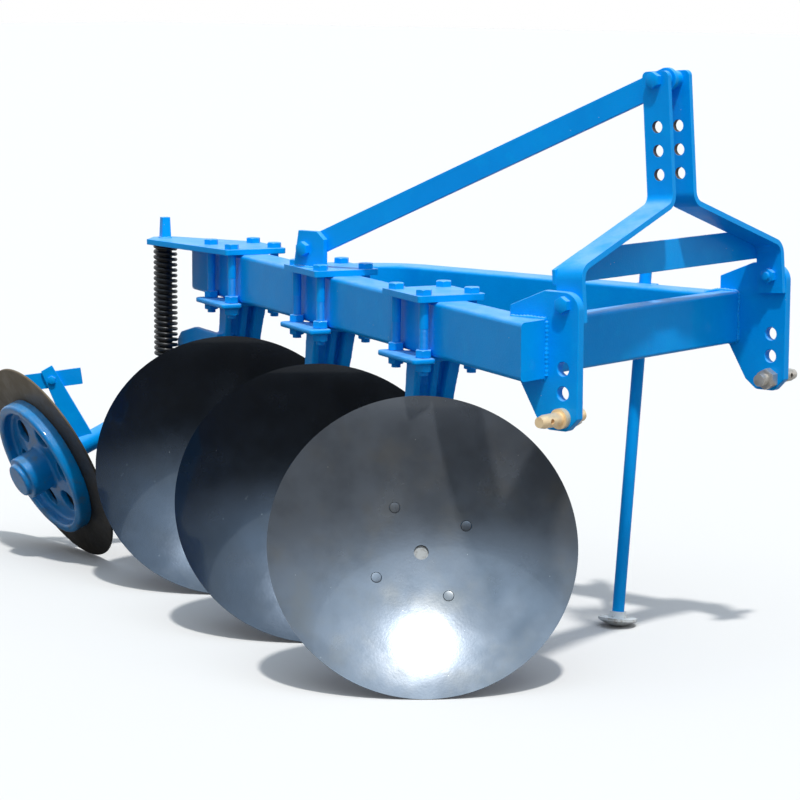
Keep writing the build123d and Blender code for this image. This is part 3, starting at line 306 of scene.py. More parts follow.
class Finish:
    """A material with one Principled shader, whose patterns are mixed in step by step."""

    def __init__(self, name, colour, roughness, metallic=0.0, coat=0.0, coat_roughness=0.1, ior=1.5):
        """Starts the material with its plain values."""
        self.material = bpy.data.materials.new(name)
        self.material.use_nodes = True
        self.tree = self.material.node_tree
        self.shader = self.tree.nodes["Principled BSDF"]
        self.shader.inputs["Base Color"].default_value = (*colour, 1.0)
        self.shader.inputs["Roughness"].default_value = roughness
        self.shader.inputs["Metallic"].default_value = metallic
        self.shader.inputs["Coat Weight"].default_value = coat
        self.shader.inputs["Coat Roughness"].default_value = coat_roughness
        self.shader.inputs["IOR"].default_value = ior
        self.colour = (*colour, 1.0)
        self.roughness = roughness

    def pattern(self, group, **sizes):
        """A shared effect with this finish's own sizes."""
        node = self.tree.nodes.new("ShaderNodeGroup")
        node.node_tree = group
        for label, value in sizes.items():
            node.inputs[label.replace("_", " ").capitalize()].default_value = value
        return node.outputs["Value"]

    def tint(self, mask, colour, share=1.0):
        """Mixes another colour in where the mask is white."""
        mix = self.tree.nodes.new("ShaderNodeMix")
        mix.data_type = "RGBA"
        factor = reckon(self.tree, "MULTIPLY", mask, share)
        self.tree.links.new(factor, mix.inputs[0])
        if isinstance(self.colour, bpy.types.NodeSocket):
            self.tree.links.new(self.colour, mix.inputs[6])
        else:
            mix.inputs[6].default_value = self.colour
        mix.inputs[7].default_value = (*colour, 1.0)
        self.colour = mix.outputs[2]
        self.tree.links.new(self.colour, self.shader.inputs["Base Color"])

    def roughen(self, mask, extra):
        """Adds roughness where the mask is white."""
        self.roughness = reckon(self.tree, "MULTIPLY_ADD", mask, extra, self.roughness)
        self.tree.links.new(self.roughness, self.shader.inputs["Roughness"])

    def relief(self, height, distance):
        """A fine relief under the light."""
        bump = self.tree.nodes.new("ShaderNodeBump")
        bump.inputs["Strength"].default_value = 1.0
        bump.inputs["Distance"].default_value = distance
        self.tree.links.new(height, bump.inputs["Height"])
        self.tree.links.new(bump.outputs["Normal"], self.shader.inputs["Normal"])


def painted(name, grain_depth, grain_scale):
    """Blue enamel: brushed on, slightly uneven, with dust and pale specks, and a painted highlight on what
    faces up.
    """
    paint = Finish(name, (0.0, 0.375, 0.98), 0.28, coat=0.08, coat_roughness=0.05, ior=1.18)
    paint.tint(paint.pattern(blotches, scale=5.0), (0.0, 0.315, 0.88), 0.6)
    paint.tint(paint.pattern(blotches, scale=22.0, low=0.5, high=0.75), (0.0, 0.44, 1.0), 0.40)
    # Pale cyan tint on top faces: partly settled dust, partly a painted highlight standing in for glare on
    # the tops
    dust_and_sheen = paint.pattern(dust_and_top_sheen, scale=16.0, amount=0.42)
    paint.tint(dust_and_sheen, (0.58, 0.78, 0.90))
    paint.roughen(dust_and_sheen, 0.9)
    paint.roughen(paint.pattern(blotches, scale=9.0), 0.10)
    paint.tint(paint.pattern(specks, scale=55.0, size=0.055, share=0.16), (0.55, 0.75, 0.85), 0.7)
    paint.relief(paint.pattern(grain, scale=grain_scale, coarse_scale=35.0), grain_depth)
    return paint.material


blue_paint = painted("blue_paint", 0.00035, 220.0)
blue_cast = painted("blue_cast_paint", 0.0011, 420.0)
blue_weld = painted("blue_weld_paint", 0.0004, 300.0)

# The wheel's centre gets a darker copy of the frame's blue paint: painted shade. Its blotches vary the tone,
# and its pale tint on top faces is partly dust and partly painted highlight.
wheel_coat_shaded = Finish("blue_wheel_paint", (0.0, 0.27, 0.68), 0.24, coat=0.3, coat_roughness=0.06, ior=1.3)
wheel_coat_shaded.tint(wheel_coat_shaded.pattern(blotches, scale=7.0), (0.0, 0.18, 0.50), 0.8)
wheel_coat_shaded.tint(wheel_coat_shaded.pattern(blotches, scale=26.0, low=0.5, high=0.72), (0.07, 0.13, 0.19), 0.6)
wheel_coat_shaded.tint(wheel_coat_shaded.pattern(dust_and_top_sheen, scale=20.0, amount=0.3), (0.45, 0.62, 0.74))
wheel_coat_shaded.relief(wheel_coat_shaded.pattern(grain, scale=380.0, coarse_scale=35.0), 0.0010)
wheel_blue_shaded = wheel_coat_shaded.material


def disc_finish(name, colour, metallic, dust_colour, dust_share):
    """Black enamel, polished enough to mirror the sky, with a film of dust."""
    skin = Finish(name, colour, 0.21, metallic=metallic, coat=0.6, coat_roughness=0.05)
    skin.tint(skin.pattern(blotches, scale=5.0, low=0.42, high=0.62), [c * 0.72 for c in colour], 0.8)
    skin.tint(skin.pattern(blotches, scale=9.0, low=0.45, high=0.75), dust_colour, dust_share)
    skin.roughen(skin.pattern(blotches, scale=11.0, low=0.4, high=0.7), 0.07)
    skin.tint(skin.pattern(specks, scale=60.0, size=0.06, share=0.12), (0.55, 0.56, 0.55), 0.7)
    skin.relief(skin.pattern(grain, scale=160.0, coarse_scale=14.0), 0.00008)
    return skin.material


# Disc 1 gets a lighter, dustier copy of the enamel and discs 2 and 3 a darker one: lit and shaded copies of
# one enamel, painted light and shade
disc_dusty_lit = disc_finish("lit_dusty_disc_enamel", (0.165, 0.188, 0.222), 0.62, (0.19, 0.185, 0.17), 0.5)
disc_black = disc_finish("shaded_black_disc_enamel", (0.044, 0.056, 0.075), 0.95, (0.05, 0.055, 0.06), 0.3)

spring_paint = Finish("black_spring_paint", (0.012, 0.012, 0.013), 0.38, coat=0.2)
spring_paint.tint(spring_paint.pattern(blotches, scale=40.0, low=0.5, high=0.8), (0.05, 0.045, 0.04), 0.7)
spring_black = spring_paint.material

flange_skin = Finish("dark_wheel_steel", (0.020, 0.018, 0.016), 0.40, metallic=0.1, coat=0.06, ior=1.3)
flange_skin.tint(flange_skin.pattern(blotches, scale=8.0, low=0.4, high=0.7), (0.050, 0.042, 0.032), 0.8)
flange_skin.tint(flange_skin.pattern(blotches, scale=30.0, low=0.55, high=0.8), (0.014, 0.012, 0.010), 0.7)
# Brown-grey towards the top and dark towards the bottom: a painted reflection of the ground above and painted
# shade below
flange_place = flange_skin.tree.nodes.new("ShaderNodeTexCoord").outputs["Object"]
flange_painted_light_height = parts_of(flange_skin.tree, flange_place)["Z"]
flange_skin.tint(ramped(flange_skin.tree, flange_painted_light_height, 0.30, 0.50), (0.185, 0.142, 0.088), 0.85)
flange_skin.roughen(flange_skin.pattern(blotches, scale=18.0), 0.18)
flange_skin.relief(flange_skin.pattern(grain, scale=200.0), 0.0003)
wheel_dark = flange_skin.material

gold = Finish("gold_plated_steel", (1.0, 0.77, 0.47), 0.32, metallic=0.45)
gold.tint(gold.pattern(blotches, scale=60.0, low=0.45, high=0.75), (0.72, 0.42, 0.19), 0.5)
gold.roughen(gold.pattern(blotches, scale=90.0), 0.15)
pin_gold = gold.material

grey = Finish("grey_plated_steel", (0.60, 0.57, 0.52), 0.38, metallic=0.8)
grey.tint(grey.pattern(blotches, scale=70.0, low=0.45, high=0.75), (0.30, 0.22, 0.15), 0.6)
grey.roughen(grey.pattern(blotches, scale=90.0), 0.15)
pin_grey = grey.material

foot_skin = Finish("bare_foot_steel", (0.78, 0.82, 0.84), 0.5, metallic=0.2)
foot_skin.tint(foot_skin.pattern(blotches, scale=45.0, low=0.5, high=0.7), (0.30, 0.24, 0.17), 0.6)
foot_skin.relief(foot_skin.pattern(grain, scale=260.0), 0.0004)
foot_bare = foot_skin.material

bore_skin = Finish("browned_bore", (0.11, 0.085, 0.075), 0.6)
bore_skin.tint(bore_skin.pattern(blotches, scale=90.0, low=0.45, high=0.6), (0.035, 0.028, 0.026), 0.8)
bore_brown = bore_skin.material

end_skin = Finish("dusty_shaft_end", (0.36, 0.37, 0.37), 0.5, metallic=0.3)
end_skin.tint(end_skin.pattern(blotches, scale=120.0, low=0.45, high=0.65), (0.20, 0.20, 0.19), 0.7)
shaft_end = end_skin.material

FINISHES = {
    "blue_paint": blue_paint,
    "disc_black": disc_black,
    "spring_black": spring_black,
    "wheel_dark": wheel_dark,
    "foot_bare": foot_bare,
    "pin_gold": pin_gold,
    "pin_grey": pin_grey,
}
NODE_FINISH = {
    "wheel_spring": "spring_black",
    "furrow_wheel_flange": "wheel_dark",
    "stand_foot": "foot_bare",
    "hitch_pin_right": "pin_gold",
    "hitch_pin_left": "pin_grey",
    "hitch_pin_nuts": "pin_grey",
}
for name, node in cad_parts.items():
    kind = "disc_black" if name in ("disc_1", "disc_2", "disc_3") else NODE_FINISH.get(name, "blue_paint")
    for slot in node.material_slots:
        slot.material = FINISHES[kind]


# Mesh helpers
def piece(name, mesh, material, body, stands_for=(), sharp=32):
    """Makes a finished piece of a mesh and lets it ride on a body."""
    mesh.polygons.foreach_set("use_smooth", [True] * len(mesh.polygons))
    if sharp:
        mesh.set_sharp_from_angle(angle=radians(sharp))
    mesh.materials.clear()
    mesh.materials.append(material)
    made = bpy.data.objects.new(name, mesh)
    scene.collection.objects.link(made)
    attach(made, body)
    if stands_for:
        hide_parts(*stands_for)
    return made


def mesh_of(bm, name):
    """Turns a bmesh into a mesh with its faces outwards."""
    bmesh.ops.remove_doubles(bm, verts=bm.verts, dist=1e-6)
    bmesh.ops.recalc_face_normals(bm, faces=bm.faces)
    mesh = bpy.data.meshes.new(name)
    bm.to_mesh(mesh)
    bm.free()
    return mesh


def helper(name, mesh):
    """An object that only lends its mesh to a modifier and is removed again."""
    lent = bpy.data.objects.new(name, mesh)
    scene.collection.objects.link(lent)
    return lent


def applied(obj):
    """The plain mesh that an object's modifiers give; the object is removed."""
    bpy.context.view_layer.update()
    graph = bpy.context.evaluated_depsgraph_get()
    mesh = bpy.data.meshes.new_from_object(obj.evaluated_get(graph), depsgraph=graph)
    bpy.data.objects.remove(obj)
    return mesh


def band(bm, low, high):
    """Faces between two closed rows of the same count."""
    count = len(low)
    for k in range(count):
        bm.faces.new((low[k], low[(k + 1) % count], high[(k + 1) % count], high[k]))


def add_shell(bm, rings):
    """A closed skin through rings of the same count, capped at both ends."""
    rows = [[bm.verts.new(p) for p in ring] for ring in rings]
    for low, high in zip(rows, rows[1:]):
        band(bm, low, high)
    bm.faces.new(rows[0][::-1])
    bm.faces.new(rows[-1])


def ring(radius_at, height_at, count):
    """Points round the z axis; radius and height may depend on the angle."""
    return [
        Vector((radius_at(a) * cos(a), radius_at(a) * sin(a), height_at(a)))
        for a in (2 * pi * k / count for k in range(count))
    ]


def level_ring(radius, height, count):
    """Points of a level circle round the z axis."""
    return ring(lambda a: radius, lambda a: height, count)


def add_turned(bm, profile, count):
    """A ring with an open middle: a closed outline of radius and height turned round the z axis."""
    rows = [[bm.verts.new(p) for p in level_ring(radius, height, count)] for radius, height in profile]
    for low, high in zip(rows, rows[1:] + rows[:1]):
        band(bm, low, high)


def add_hexagon(bm, across, low, high, chamfer_low=True, chamfer_high=True):
    """A nut or bolt head with turned chamfers."""
    count = 48

    def corner(a):
        """The hexagon's reach at an angle."""
        return across / 2 / cos((a + pi / 6) % (pi / 3) - pi / 6)

    turned = across * 0.475

    def drop(a):
        """How far the chamfer falls at an angle."""
        return max(corner(a) - turned, 0) * tan(radians(30))

    rings = []
    if chamfer_low:
        rings.append(level_ring(turned, low, count))
    rings.append(ring(corner, lambda a: low + (drop(a) if chamfer_low else 0), count))
    rings.append(ring(corner, lambda a: high - (drop(a) if chamfer_high else 0), count))
    if chamfer_high:
        rings.append(level_ring(turned, high, count))
    add_shell(bm, rings)


def add_rod(bm, diameter, low, high):
    """A plain round rod."""
    add_shell(bm, [level_ring(diameter / 2, height, 32) for height in (low, high)])


def add_thread(bm, diameter, low, high, pitch):
    """A screw thread between two heights, with its end turned smaller."""
    steps = max(int(ceil((high - low) / pitch * 5)), 4)
    rings = []
    for step in range(steps + 1):
        height = low + (high - low) * step / steps
        end = 0.0012 if step == steps else 0.0

        def wave(a, height=height, end=end):
            """The thread's radius at an angle."""
            return diameter / 2 - end - 0.32 * pitch * (0.5 - 0.5 * cos(2 * pi * height / pitch - a))

        rings.append(ring(wave, lambda a, height=height: height, 24))
    add_shell(bm, rings)


def along(origin, direction):
    """The place whose z axis points in a direction."""
    return Matrix.Translation(origin) @ Vector(direction).to_track_quat("Z", "Y").to_matrix().to_4x4()


def end_with_finish(tree, geometry, material, result):
    """Makes a tree's geometry real, gives it its material and hands it out."""
    real = tree.nodes.new("GeometryNodeRealizeInstances")
    finish = tree.nodes.new("GeometryNodeSetMaterial")
    tree.links.new(geometry, real.inputs["Geometry"])
    tree.links.new(real.outputs["Geometry"], finish.inputs["Geometry"])
    tree.links.new(material, finish.inputs["Material"])
    tree.links.new(finish.outputs["Geometry"], result.inputs["Geometry"])


def row_tree():
    """A row of equal pieces: a copy of the lent piece at each point of a mesh."""
    tree = bpy.data.node_groups.new("row_of_fasteners", "GeometryNodeTree")
    tree.interface.new_socket("Geometry", in_out="INPUT", socket_type="NodeSocketGeometry")
    tree.interface.new_socket("Fastener", in_out="INPUT", socket_type="NodeSocketObject")
    tree.interface.new_socket("Finish", in_out="INPUT", socket_type="NodeSocketMaterial")
    tree.interface.new_socket("Geometry", in_out="OUTPUT", socket_type="NodeSocketGeometry")
    given = tree.nodes.new("NodeGroupInput")
    result = tree.nodes.new("NodeGroupOutput")
    lent = tree.nodes.new("GeometryNodeObjectInfo")
    copies = tree.nodes.new("GeometryNodeInstanceOnPoints")
    tree.links.new(given.outputs["Fastener"], lent.inputs["Object"])
    tree.links.new(given.outputs["Geometry"], copies.inputs["Points"])
    tree.links.new(lent.outputs["Geometry"], copies.inputs["Instance"])
    end_with_finish(tree, copies.outputs["Instances"], given.outputs["Finish"], result)
    return tree


def set_inputs(modifier, tree, values):
    """Gives a modifier's named inputs their values."""
    for item in tree.interface.items_tree:
        if item.item_type == "SOCKET" and item.in_out == "INPUT" and item.name in values:
            modifier[item.identifier] = values[item.name]


ROW = row_tree()


def row_of(name, fastener, points, material):
    """The mesh of one fastener repeated at points."""
    dots = bpy.data.meshes.new(name + "_points")
    dots.from_pydata([tuple(p) for p in points], [], [])
    holder = helper(name + "_row", dots)
    lent = helper(name + "_lent", fastener)
    modifier = holder.modifiers.new("row", "NODES")
    modifier.node_group = ROW
    set_inputs(modifier, ROW, {"Fastener": lent, "Finish": material})
    mesh = applied(holder)
    bpy.data.objects.remove(lent)
    return mesh


def disc_tree():
    """A dished disc: each point of a grid is laid round the axis and on the dish by rule."""
    tree = bpy.data.node_groups.new("dished_disc", "GeometryNodeTree")
    sizes = (
        ("Disc radius", 0.33),
        ("Hole radius", 0.016),
        ("Dish sphere", 0.858),
        ("Steel", 0.006),
        ("Edge land", 0.002),
        ("Edge slope", 0.72),
    )
    for label, default in sizes:
        number_input(tree, label, default)
    tree.interface.new_socket("Steps round", in_out="INPUT", socket_type="NodeSocketInt").default_value = 193
    tree.interface.new_socket("Steps across", in_out="INPUT", socket_type="NodeSocketInt").default_value = 34
    tree.interface.new_socket("Finish", in_out="INPUT", socket_type="NodeSocketMaterial")
    tree.interface.new_socket("Geometry", in_out="OUTPUT", socket_type="NodeSocketGeometry")
    given = tree.nodes.new("NodeGroupInput").outputs
    result = tree.nodes.new("NodeGroupOutput")

    def step(operation, *values):
        """One step of arithmetic in this tree."""
        return reckon(tree, operation, *values)

    rows = given["Steps across"]
    grid = tree.nodes.new("GeometryNodeMeshGrid")
    grid.inputs["Size X"].default_value = 1.0
    grid.inputs["Size Y"].default_value = 1.0
    tree.links.new(given["Steps round"], grid.inputs["Vertices X"])
    tree.links.new(step("MULTIPLY_ADD", rows, 2.0, 1.0), grid.inputs["Vertices Y"])
    spot = parts_of(tree, tree.nodes.new("GeometryNodeInputPosition").outputs[0])
    angle = step("MULTIPLY", step("ADD", spot["X"], 0.5), 2 * pi)
    line = step("ROUND", step("MULTIPLY", step("MULTIPLY", step("ADD", spot["Y"], 0.5), rows), 2.0))
    outward = step("LESS_THAN", line, step("SUBTRACT", rows, 0.5))
    closing = step("GREATER_THAN", line, step("MULTIPLY_ADD", rows, 2.0, -0.5))
    front = step("MAXIMUM", outward, closing)
    last = step("SUBTRACT", rows, 1.0)
    going_out = step("DIVIDE", line, last)
    lines_left = step("SUBTRACT", step("MULTIPLY_ADD", rows, 2.0, -1.0), line)
    coming_back = step("MAXIMUM", step("DIVIDE", lines_left, last), 0.0)
    share_back = step("MULTIPLY", coming_back, step("SUBTRACT", 1.0, outward))
    share = step("ADD", step("MULTIPLY", going_out, outward), share_back)
    spread_out = step("POWER", share, 0.6)
    reach = step("SUBTRACT", given["Disc radius"], given["Hole radius"])
    radius = step("MULTIPLY_ADD", spread_out, reach, given["Hole radius"])
    back_steel = step("MULTIPLY", given["Steel"], step("SUBTRACT", 1.0, front))
    sphere = step("ADD", given["Dish sphere"], back_steel)

    def leg(long, short):
        """The other short side of a right triangle."""
        squares = step("SUBTRACT", step("MULTIPLY", long, long), step("MULTIPLY", short, short))
        return step("SQRT", squares)

    on_sphere = step("SUBTRACT", leg(given["Dish sphere"], given["Disc radius"]), leg(sphere, radius))
    inside_rim = step("SUBTRACT", given["Disc radius"], radius)
    fallen = step("MULTIPLY", step("MULTIPLY", inside_rim, given["Edge slope"]), -1.0)
    on_bevel = step("SUBTRACT", fallen, given["Edge land"])
    height = step("MAXIMUM", on_sphere, on_bevel)
    point = joined(
        tree,
        "ShaderNodeCombineXYZ",
        None,
        step("MULTIPLY", radius, step("COSINE", angle)),
        step("MULTIPLY", radius, step("SINE", angle)),
        height,
    )
    laid = tree.nodes.new("GeometryNodeSetPosition")
    tree.links.new(grid.outputs["Mesh"], laid.inputs["Geometry"])
    tree.links.new(point, laid.inputs["Position"])
    closed = tree.nodes.new("GeometryNodeMergeByDistance")
    closed.inputs["Distance"].default_value = 0.00001
    tree.links.new(laid.outputs["Geometry"], closed.inputs["Geometry"])
    end_with_finish(tree, closed.outputs["Geometry"], given["Finish"], result)
    return tree


def cut_by(mesh, cutter, name):
    """The first mesh less the second."""
    body = helper(name + "_body", mesh)
    tool = helper(name + "_tool", cutter)
    modifier = body.modifiers.new("cut", "BOOLEAN")
    modifier.operation = "DIFFERENCE"
    modifier.solver = "EXACT"
    modifier.object = tool
    made = applied(body)
    bpy.data.objects.remove(tool)
    return made


def true_dish_normals(mesh, centre):
    """Gives both faces of the dish their spheres' normals, so that cut-outs leave no dents in the light."""
    mesh.polygons.foreach_set("use_smooth", [True] * len(mesh.polygons))
    mesh.set_sharp_from_angle(angle=radians(30))
    normals = [Vector(n.vector) for n in mesh.corner_normals]
    for face in mesh.polygons:
        away = face.center - centre
        inner = abs(away.length - DISC_SPHERE) < 0.0008
        outer = abs(away.length - DISC_SPHERE - DISC_STEEL) < 0.0008
        aligned = abs(face.normal.dot(away.normalized())) > 0.97
        if aligned and (inner or outer):
            for loop in face.loop_indices:
                toward = mesh.vertices[mesh.loops[loop].vertex_index].co - centre
                normals[loop] = toward.normalized() * (-1 if inner else 1)
    mesh.normals_split_custom_set([tuple(n) for n in normals])


DISC = disc_tree()


def disc_bolt_mesh():
    """One of the disc's bolts, along the axis: low round head in the dish, shank, nut and thread end."""
    top = dish(DISC_BOLT_CIRCLE)
    bm = bmesh.new()
    profile = ((0.0088, 0.0010), (0.0106, 0.0008), (0.0115, -0.0006), (0.0115, -0.0055), (0.0070, -0.0060))
    rings = [level_ring(radius, top + height, 32) for radius, height in profile]
    rings.append(level_ring(0.0070, -HUB_BACK, 32))
    add_shell(bm, rings)
    add_hexagon(bm, 0.022, -HUB_BACK - 0.0112, -HUB_BACK)
    add_thread(bm, 0.014, -HUB_BACK - 0.0168, -HUB_BACK - 0.0108, 0.002)
    return mesh_of(bm, "disc_bolt")


def disc_bolt_spots():
    """Where the bolts stand round the disc's axis."""
    turns = [DISC_BOLT_START + k * pi / 2 for k in range(4)]
    return [Vector((DISC_BOLT_CIRCLE * cos(t), DISC_BOLT_CIRCLE * sin(t), 0)) for t in turns]


for number, disc_place in enumerate(DISC_PLACES, start=1):
    # Disc 1 takes the lit copy, discs 2 and 3 the shaded copy: painted light and shade
    disc_skin = disc_dusty_lit if number == 1 else disc_black
    body = f"disc_{number}_set"
    seed = bpy.data.meshes.new("disc_seed")
    grown = helper("disc_grown", seed)
    modifier = grown.modifiers.new("dish", "NODES")
    modifier.node_group = DISC
    values = {
        "Disc radius": DISC_RADIUS,
        "Hole radius": DISC_HOLE,
        "Dish sphere": DISC_SPHERE,
        "Steel": DISC_STEEL,
        "Edge land": 0.002,
        "Edge slope": 0.72,
        "Steps round": 193,
        "Steps across": 34,
        "Finish": disc_skin,
    }
    set_inputs(modifier, DISC, values)
    bm = bmesh.new()
    bm.from_mesh(applied(grown))
    blade = mesh_of(bm, "disc_blade")
    bm = bmesh.new()
    for spot in disc_bolt_spots():
        drill = [level_ring(0.0120, height, 32) for height in (-0.10, -0.02)]
        add_shell(bm, [[p + spot for p in level] for level in drill])
    blade = cut_by(blade, mesh_of(bm, "seats"), "seats")
    blade.transform(disc_place)
    blade.update()
    made = piece(f"disc_blade_{number}", blade, disc_skin, body, (f"disc_{number}",), 0)
    true_dish_normals(made.data, disc_place @ Vector((0, 0, sqrt(DISC_SPHERE**2 - DISC_RADIUS**2))))
    bolts = row_of("disc_bolts", disc_bolt_mesh(), disc_bolt_spots(), disc_skin)
    for point in bolts.vertices:
        if point.co.z > dish(DISC_BOLT_CIRCLE) - 0.003:
            point.co.z += dish(point.co.xy.length) - dish(DISC_BOLT_CIRCLE)
    bolts.transform(disc_place)
    piece(f"disc_fixings_{number}", bolts, disc_skin, body, (f"disc_bolts_{number}",))
    bm = bmesh.new()
    add_rod(bm, 2 * DISC_HOLE - 0.0003, dish(0) - DISC_STEEL - 0.0002, dish(0) - DISC_STEEL + 0.0006)
    face = mesh_of(bm, "shaft_face")
    face.transform(disc_place)
    piece(f"shaft_face_{number}", face, shaft_end, body)


# Softened copies of plates and castings, in place of the sharp-edged ones
def merged_copy(name):
    """A copy of a CAD node's mesh with its loose triangles joined."""
    bm = bmesh.new()
    bm.from_mesh(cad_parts[name].data)
    bmesh.ops.remove_doubles(bm, verts=bm.verts, dist=1e-6)
    return bm


def softened(mesh, width):
    """A mesh with its sharp edges eased by a small round, and its flats lit as flats."""
    mesh.polygons.foreach_set("use_smooth", [True] * len(mesh.polygons))
    holder = helper("softened", mesh)
    bevel = holder.modifiers.new("eased", "BEVEL")
    bevel.width = width
    bevel.segments = 3
    bevel.limit_method = "ANGLE"
    bevel.angle_limit = radians(34)
    bevel.use_clamp_overlap = True
    lit = holder.modifiers.new("lit", "WEIGHTED_NORMAL")
    lit.weight = 100
    return applied(holder)


def eased(name, width):
    """A blue plate of the frame with its sharp edges eased by a small round."""
    bm = merged_copy(name)
    bmesh.ops.dissolve_limit(bm, angle_limit=radians(0.6), verts=bm.verts, edges=bm.edges)
    mesh = softened(mesh_of(bm, name), width)
    return piece(name + "_eased", mesh, blue_paint, "frame", (name,), 0)


for name, width in (
    ("hitch_plate_right", 0.0018),
    ("hitch_plate_left", 0.0018),
    ("mast_strap_right", 0.0016),
    ("mast_strap_left", 0.0016),
    ("mast_flat", 0.0016),
    ("top_stay", 0.0014),
    ("stay_ear", 0.0018),
    ("clamp_plate_1", 0.0016),
    ("clamp_plate_2", 0.0016),
    ("clamp_plate_3", 0.0016),
    ("scraper_blade", 0.0012),
    ("stand_sleeve", 0.0016),
):
    eased(name, width)


def cast_copy(name, body, grid, passes, keep, material):
    """A casting with the soft, filleted skin that sand moulds give."""
    bm = merged_copy(name)
    mesh = mesh_of(bm, name)
    holder = helper(name + "_cast", mesh)
    skin = holder.modifiers.new("skin", "REMESH")
    skin.mode = "VOXEL"
    skin.voxel_size = grid
    soft = holder.modifiers.new("soft", "SMOOTH")
    soft.factor = 0.5
    soft.iterations = passes
    fewer = holder.modifiers.new("fewer", "DECIMATE")
    fewer.ratio = keep
    mesh = applied(holder)
    return piece(name + "_cast", mesh, material, body, (name,), 60)


for number in range(1, 4):
    cast_copy(f"disc_standard_{number}", "frame", 0.003, 5, 0.45, blue_cast)


# Hexagon bolts
def bolt_mesh(diameter, across, head, grip, nut, tail, pitch):
    """Head below the seat, shank through the grip, nut after it and a thread end."""
    bm = bmesh.new()
    add_hexagon(bm, across, -head, 0, chamfer_high=False)
    add_rod(bm, diameter, 0, grip)
    add_hexagon(bm, across, grip, grip + nut, chamfer_low=False)
    add_thread(bm, diameter, grip + nut - pitch, grip + nut + tail, pitch)
    return mesh_of(bm, "bolt")


def clamp_bolt_mesh():
    """One clamp bolt: head on the plate, nuts above and below the flange, threads round them."""
    bm = bmesh.new()
    thread_top = 0.750
    foot = FLANGE_BOTTOM - CLAMP_NUT
    add_hexagon(bm, CLAMP_NUT_ACROSS, CLAMP_TOP, CLAMP_TOP + CLAMP_HEAD, chamfer_low=False)
    add_rod(bm, CLAMP_BOLT, thread_top - 0.002, CLAMP_TOP)
    add_thread(bm, CLAMP_BOLT, BEAM_BOTTOM + CLAMP_NUT, thread_top, CLAMP_THREAD_PITCH)
    add_hexagon(bm, CLAMP_NUT_ACROSS, BEAM_BOTTOM, BEAM_BOTTOM + CLAMP_NUT)
    add_rod(bm, CLAMP_BOLT, FLANGE_BOTTOM, BEAM_BOTTOM)
    add_hexagon(bm, CLAMP_NUT_ACROSS, foot, FLANGE_BOTTOM)
    add_thread(bm, CLAMP_BOLT, foot - 0.008, foot + 0.001, CLAMP_THREAD_PITCH)
    mesh = mesh_of(bm, "clamp_bolt")
    mesh.transform(Matrix.Rotation(-BEAM_ANGLE, 4, "Z"))
    return mesh


for number in range(3):
    middle = CLAMP_FIRST + CLAMP_PITCH * number
    spots = []
    for ahead in (-1, 1):
        for side in (-1, 1):
            spots.append(beam_point(middle + ahead * CLAMP_AHEAD, side * CLAMP_SIDE, 0))
    bolts = row_of("clamp_bolts", clamp_bolt_mesh(), spots, blue_paint)
    node = f"clamp_bolts_{number + 1}"
    piece(f"clamp_fixings_{number + 1}", bolts, blue_paint, "frame", (node,))


def join_meshes(meshes, name):
    """One mesh of several."""
    bm = bmesh.new()
    for mesh in meshes:
        bm.from_mesh(mesh)
    joined_mesh = bpy.data.meshes.new(name)
    bm.to_mesh(joined_mesh)
    bm.free()
    return joined_mesh


M20_BOLT = {"diameter": 0.020, "across": 0.030, "head": 0.014, "nut": 0.014, "tail": 0.008, "pitch": 0.0025}
M12_BOLT = {"diameter": 0.012, "across": 0.019, "head": 0.008, "nut": 0.010, "tail": 0.004, "pitch": 0.00175}
MAST_FOOT_GRIP = 0.032
mast_bolts = []
for side in (-1, 1):
    bolt = bolt_mesh(grip=MAST_FOOT_GRIP, **M20_BOLT)
    bolt.transform(along(mast_point(side * PLATE_OUTER, MAST_FOOT_BOLT_HEIGHT), (0, -side, 0)))
    mast_bolts.append(bolt)
bolt = bolt_mesh(grip=2 * STRAP_OUTER, **M20_BOLT)
bolt.transform(along(mast_point(-STRAP_OUTER, MAST_BOLT_HEIGHT), (0, 1, 0)))
mast_bolts.append(bolt)
mast_mesh = join_meshes(mast_bolts, "mast_fixings")
piece("mast_fixings", mast_mesh, blue_paint, "frame", ("mast_bolts",))

# Nuts on the inner ends of the lower pins, with the threads of the pins
pin_nuts = []
for side in (-1, 1):
    bm = bmesh.new()
    add_hexagon(bm, 0.041, 0, 0.022, chamfer_low=False)
    add_thread(bm, 0.0272, 0.020, 0.0452, 0.003)
    nut = mesh_of(bm, "pin_nut")
    nut.transform(along(HITCH + Vector((0, side * PLATE_INNER, PIN_HEIGHT)), (0, -side, 0)))
    pin_nuts.append(nut)
piece("pin_nuts", join_meshes(pin_nuts, "pin_nuts"), pin_grey, "frame", ("hitch_pin_nuts",))


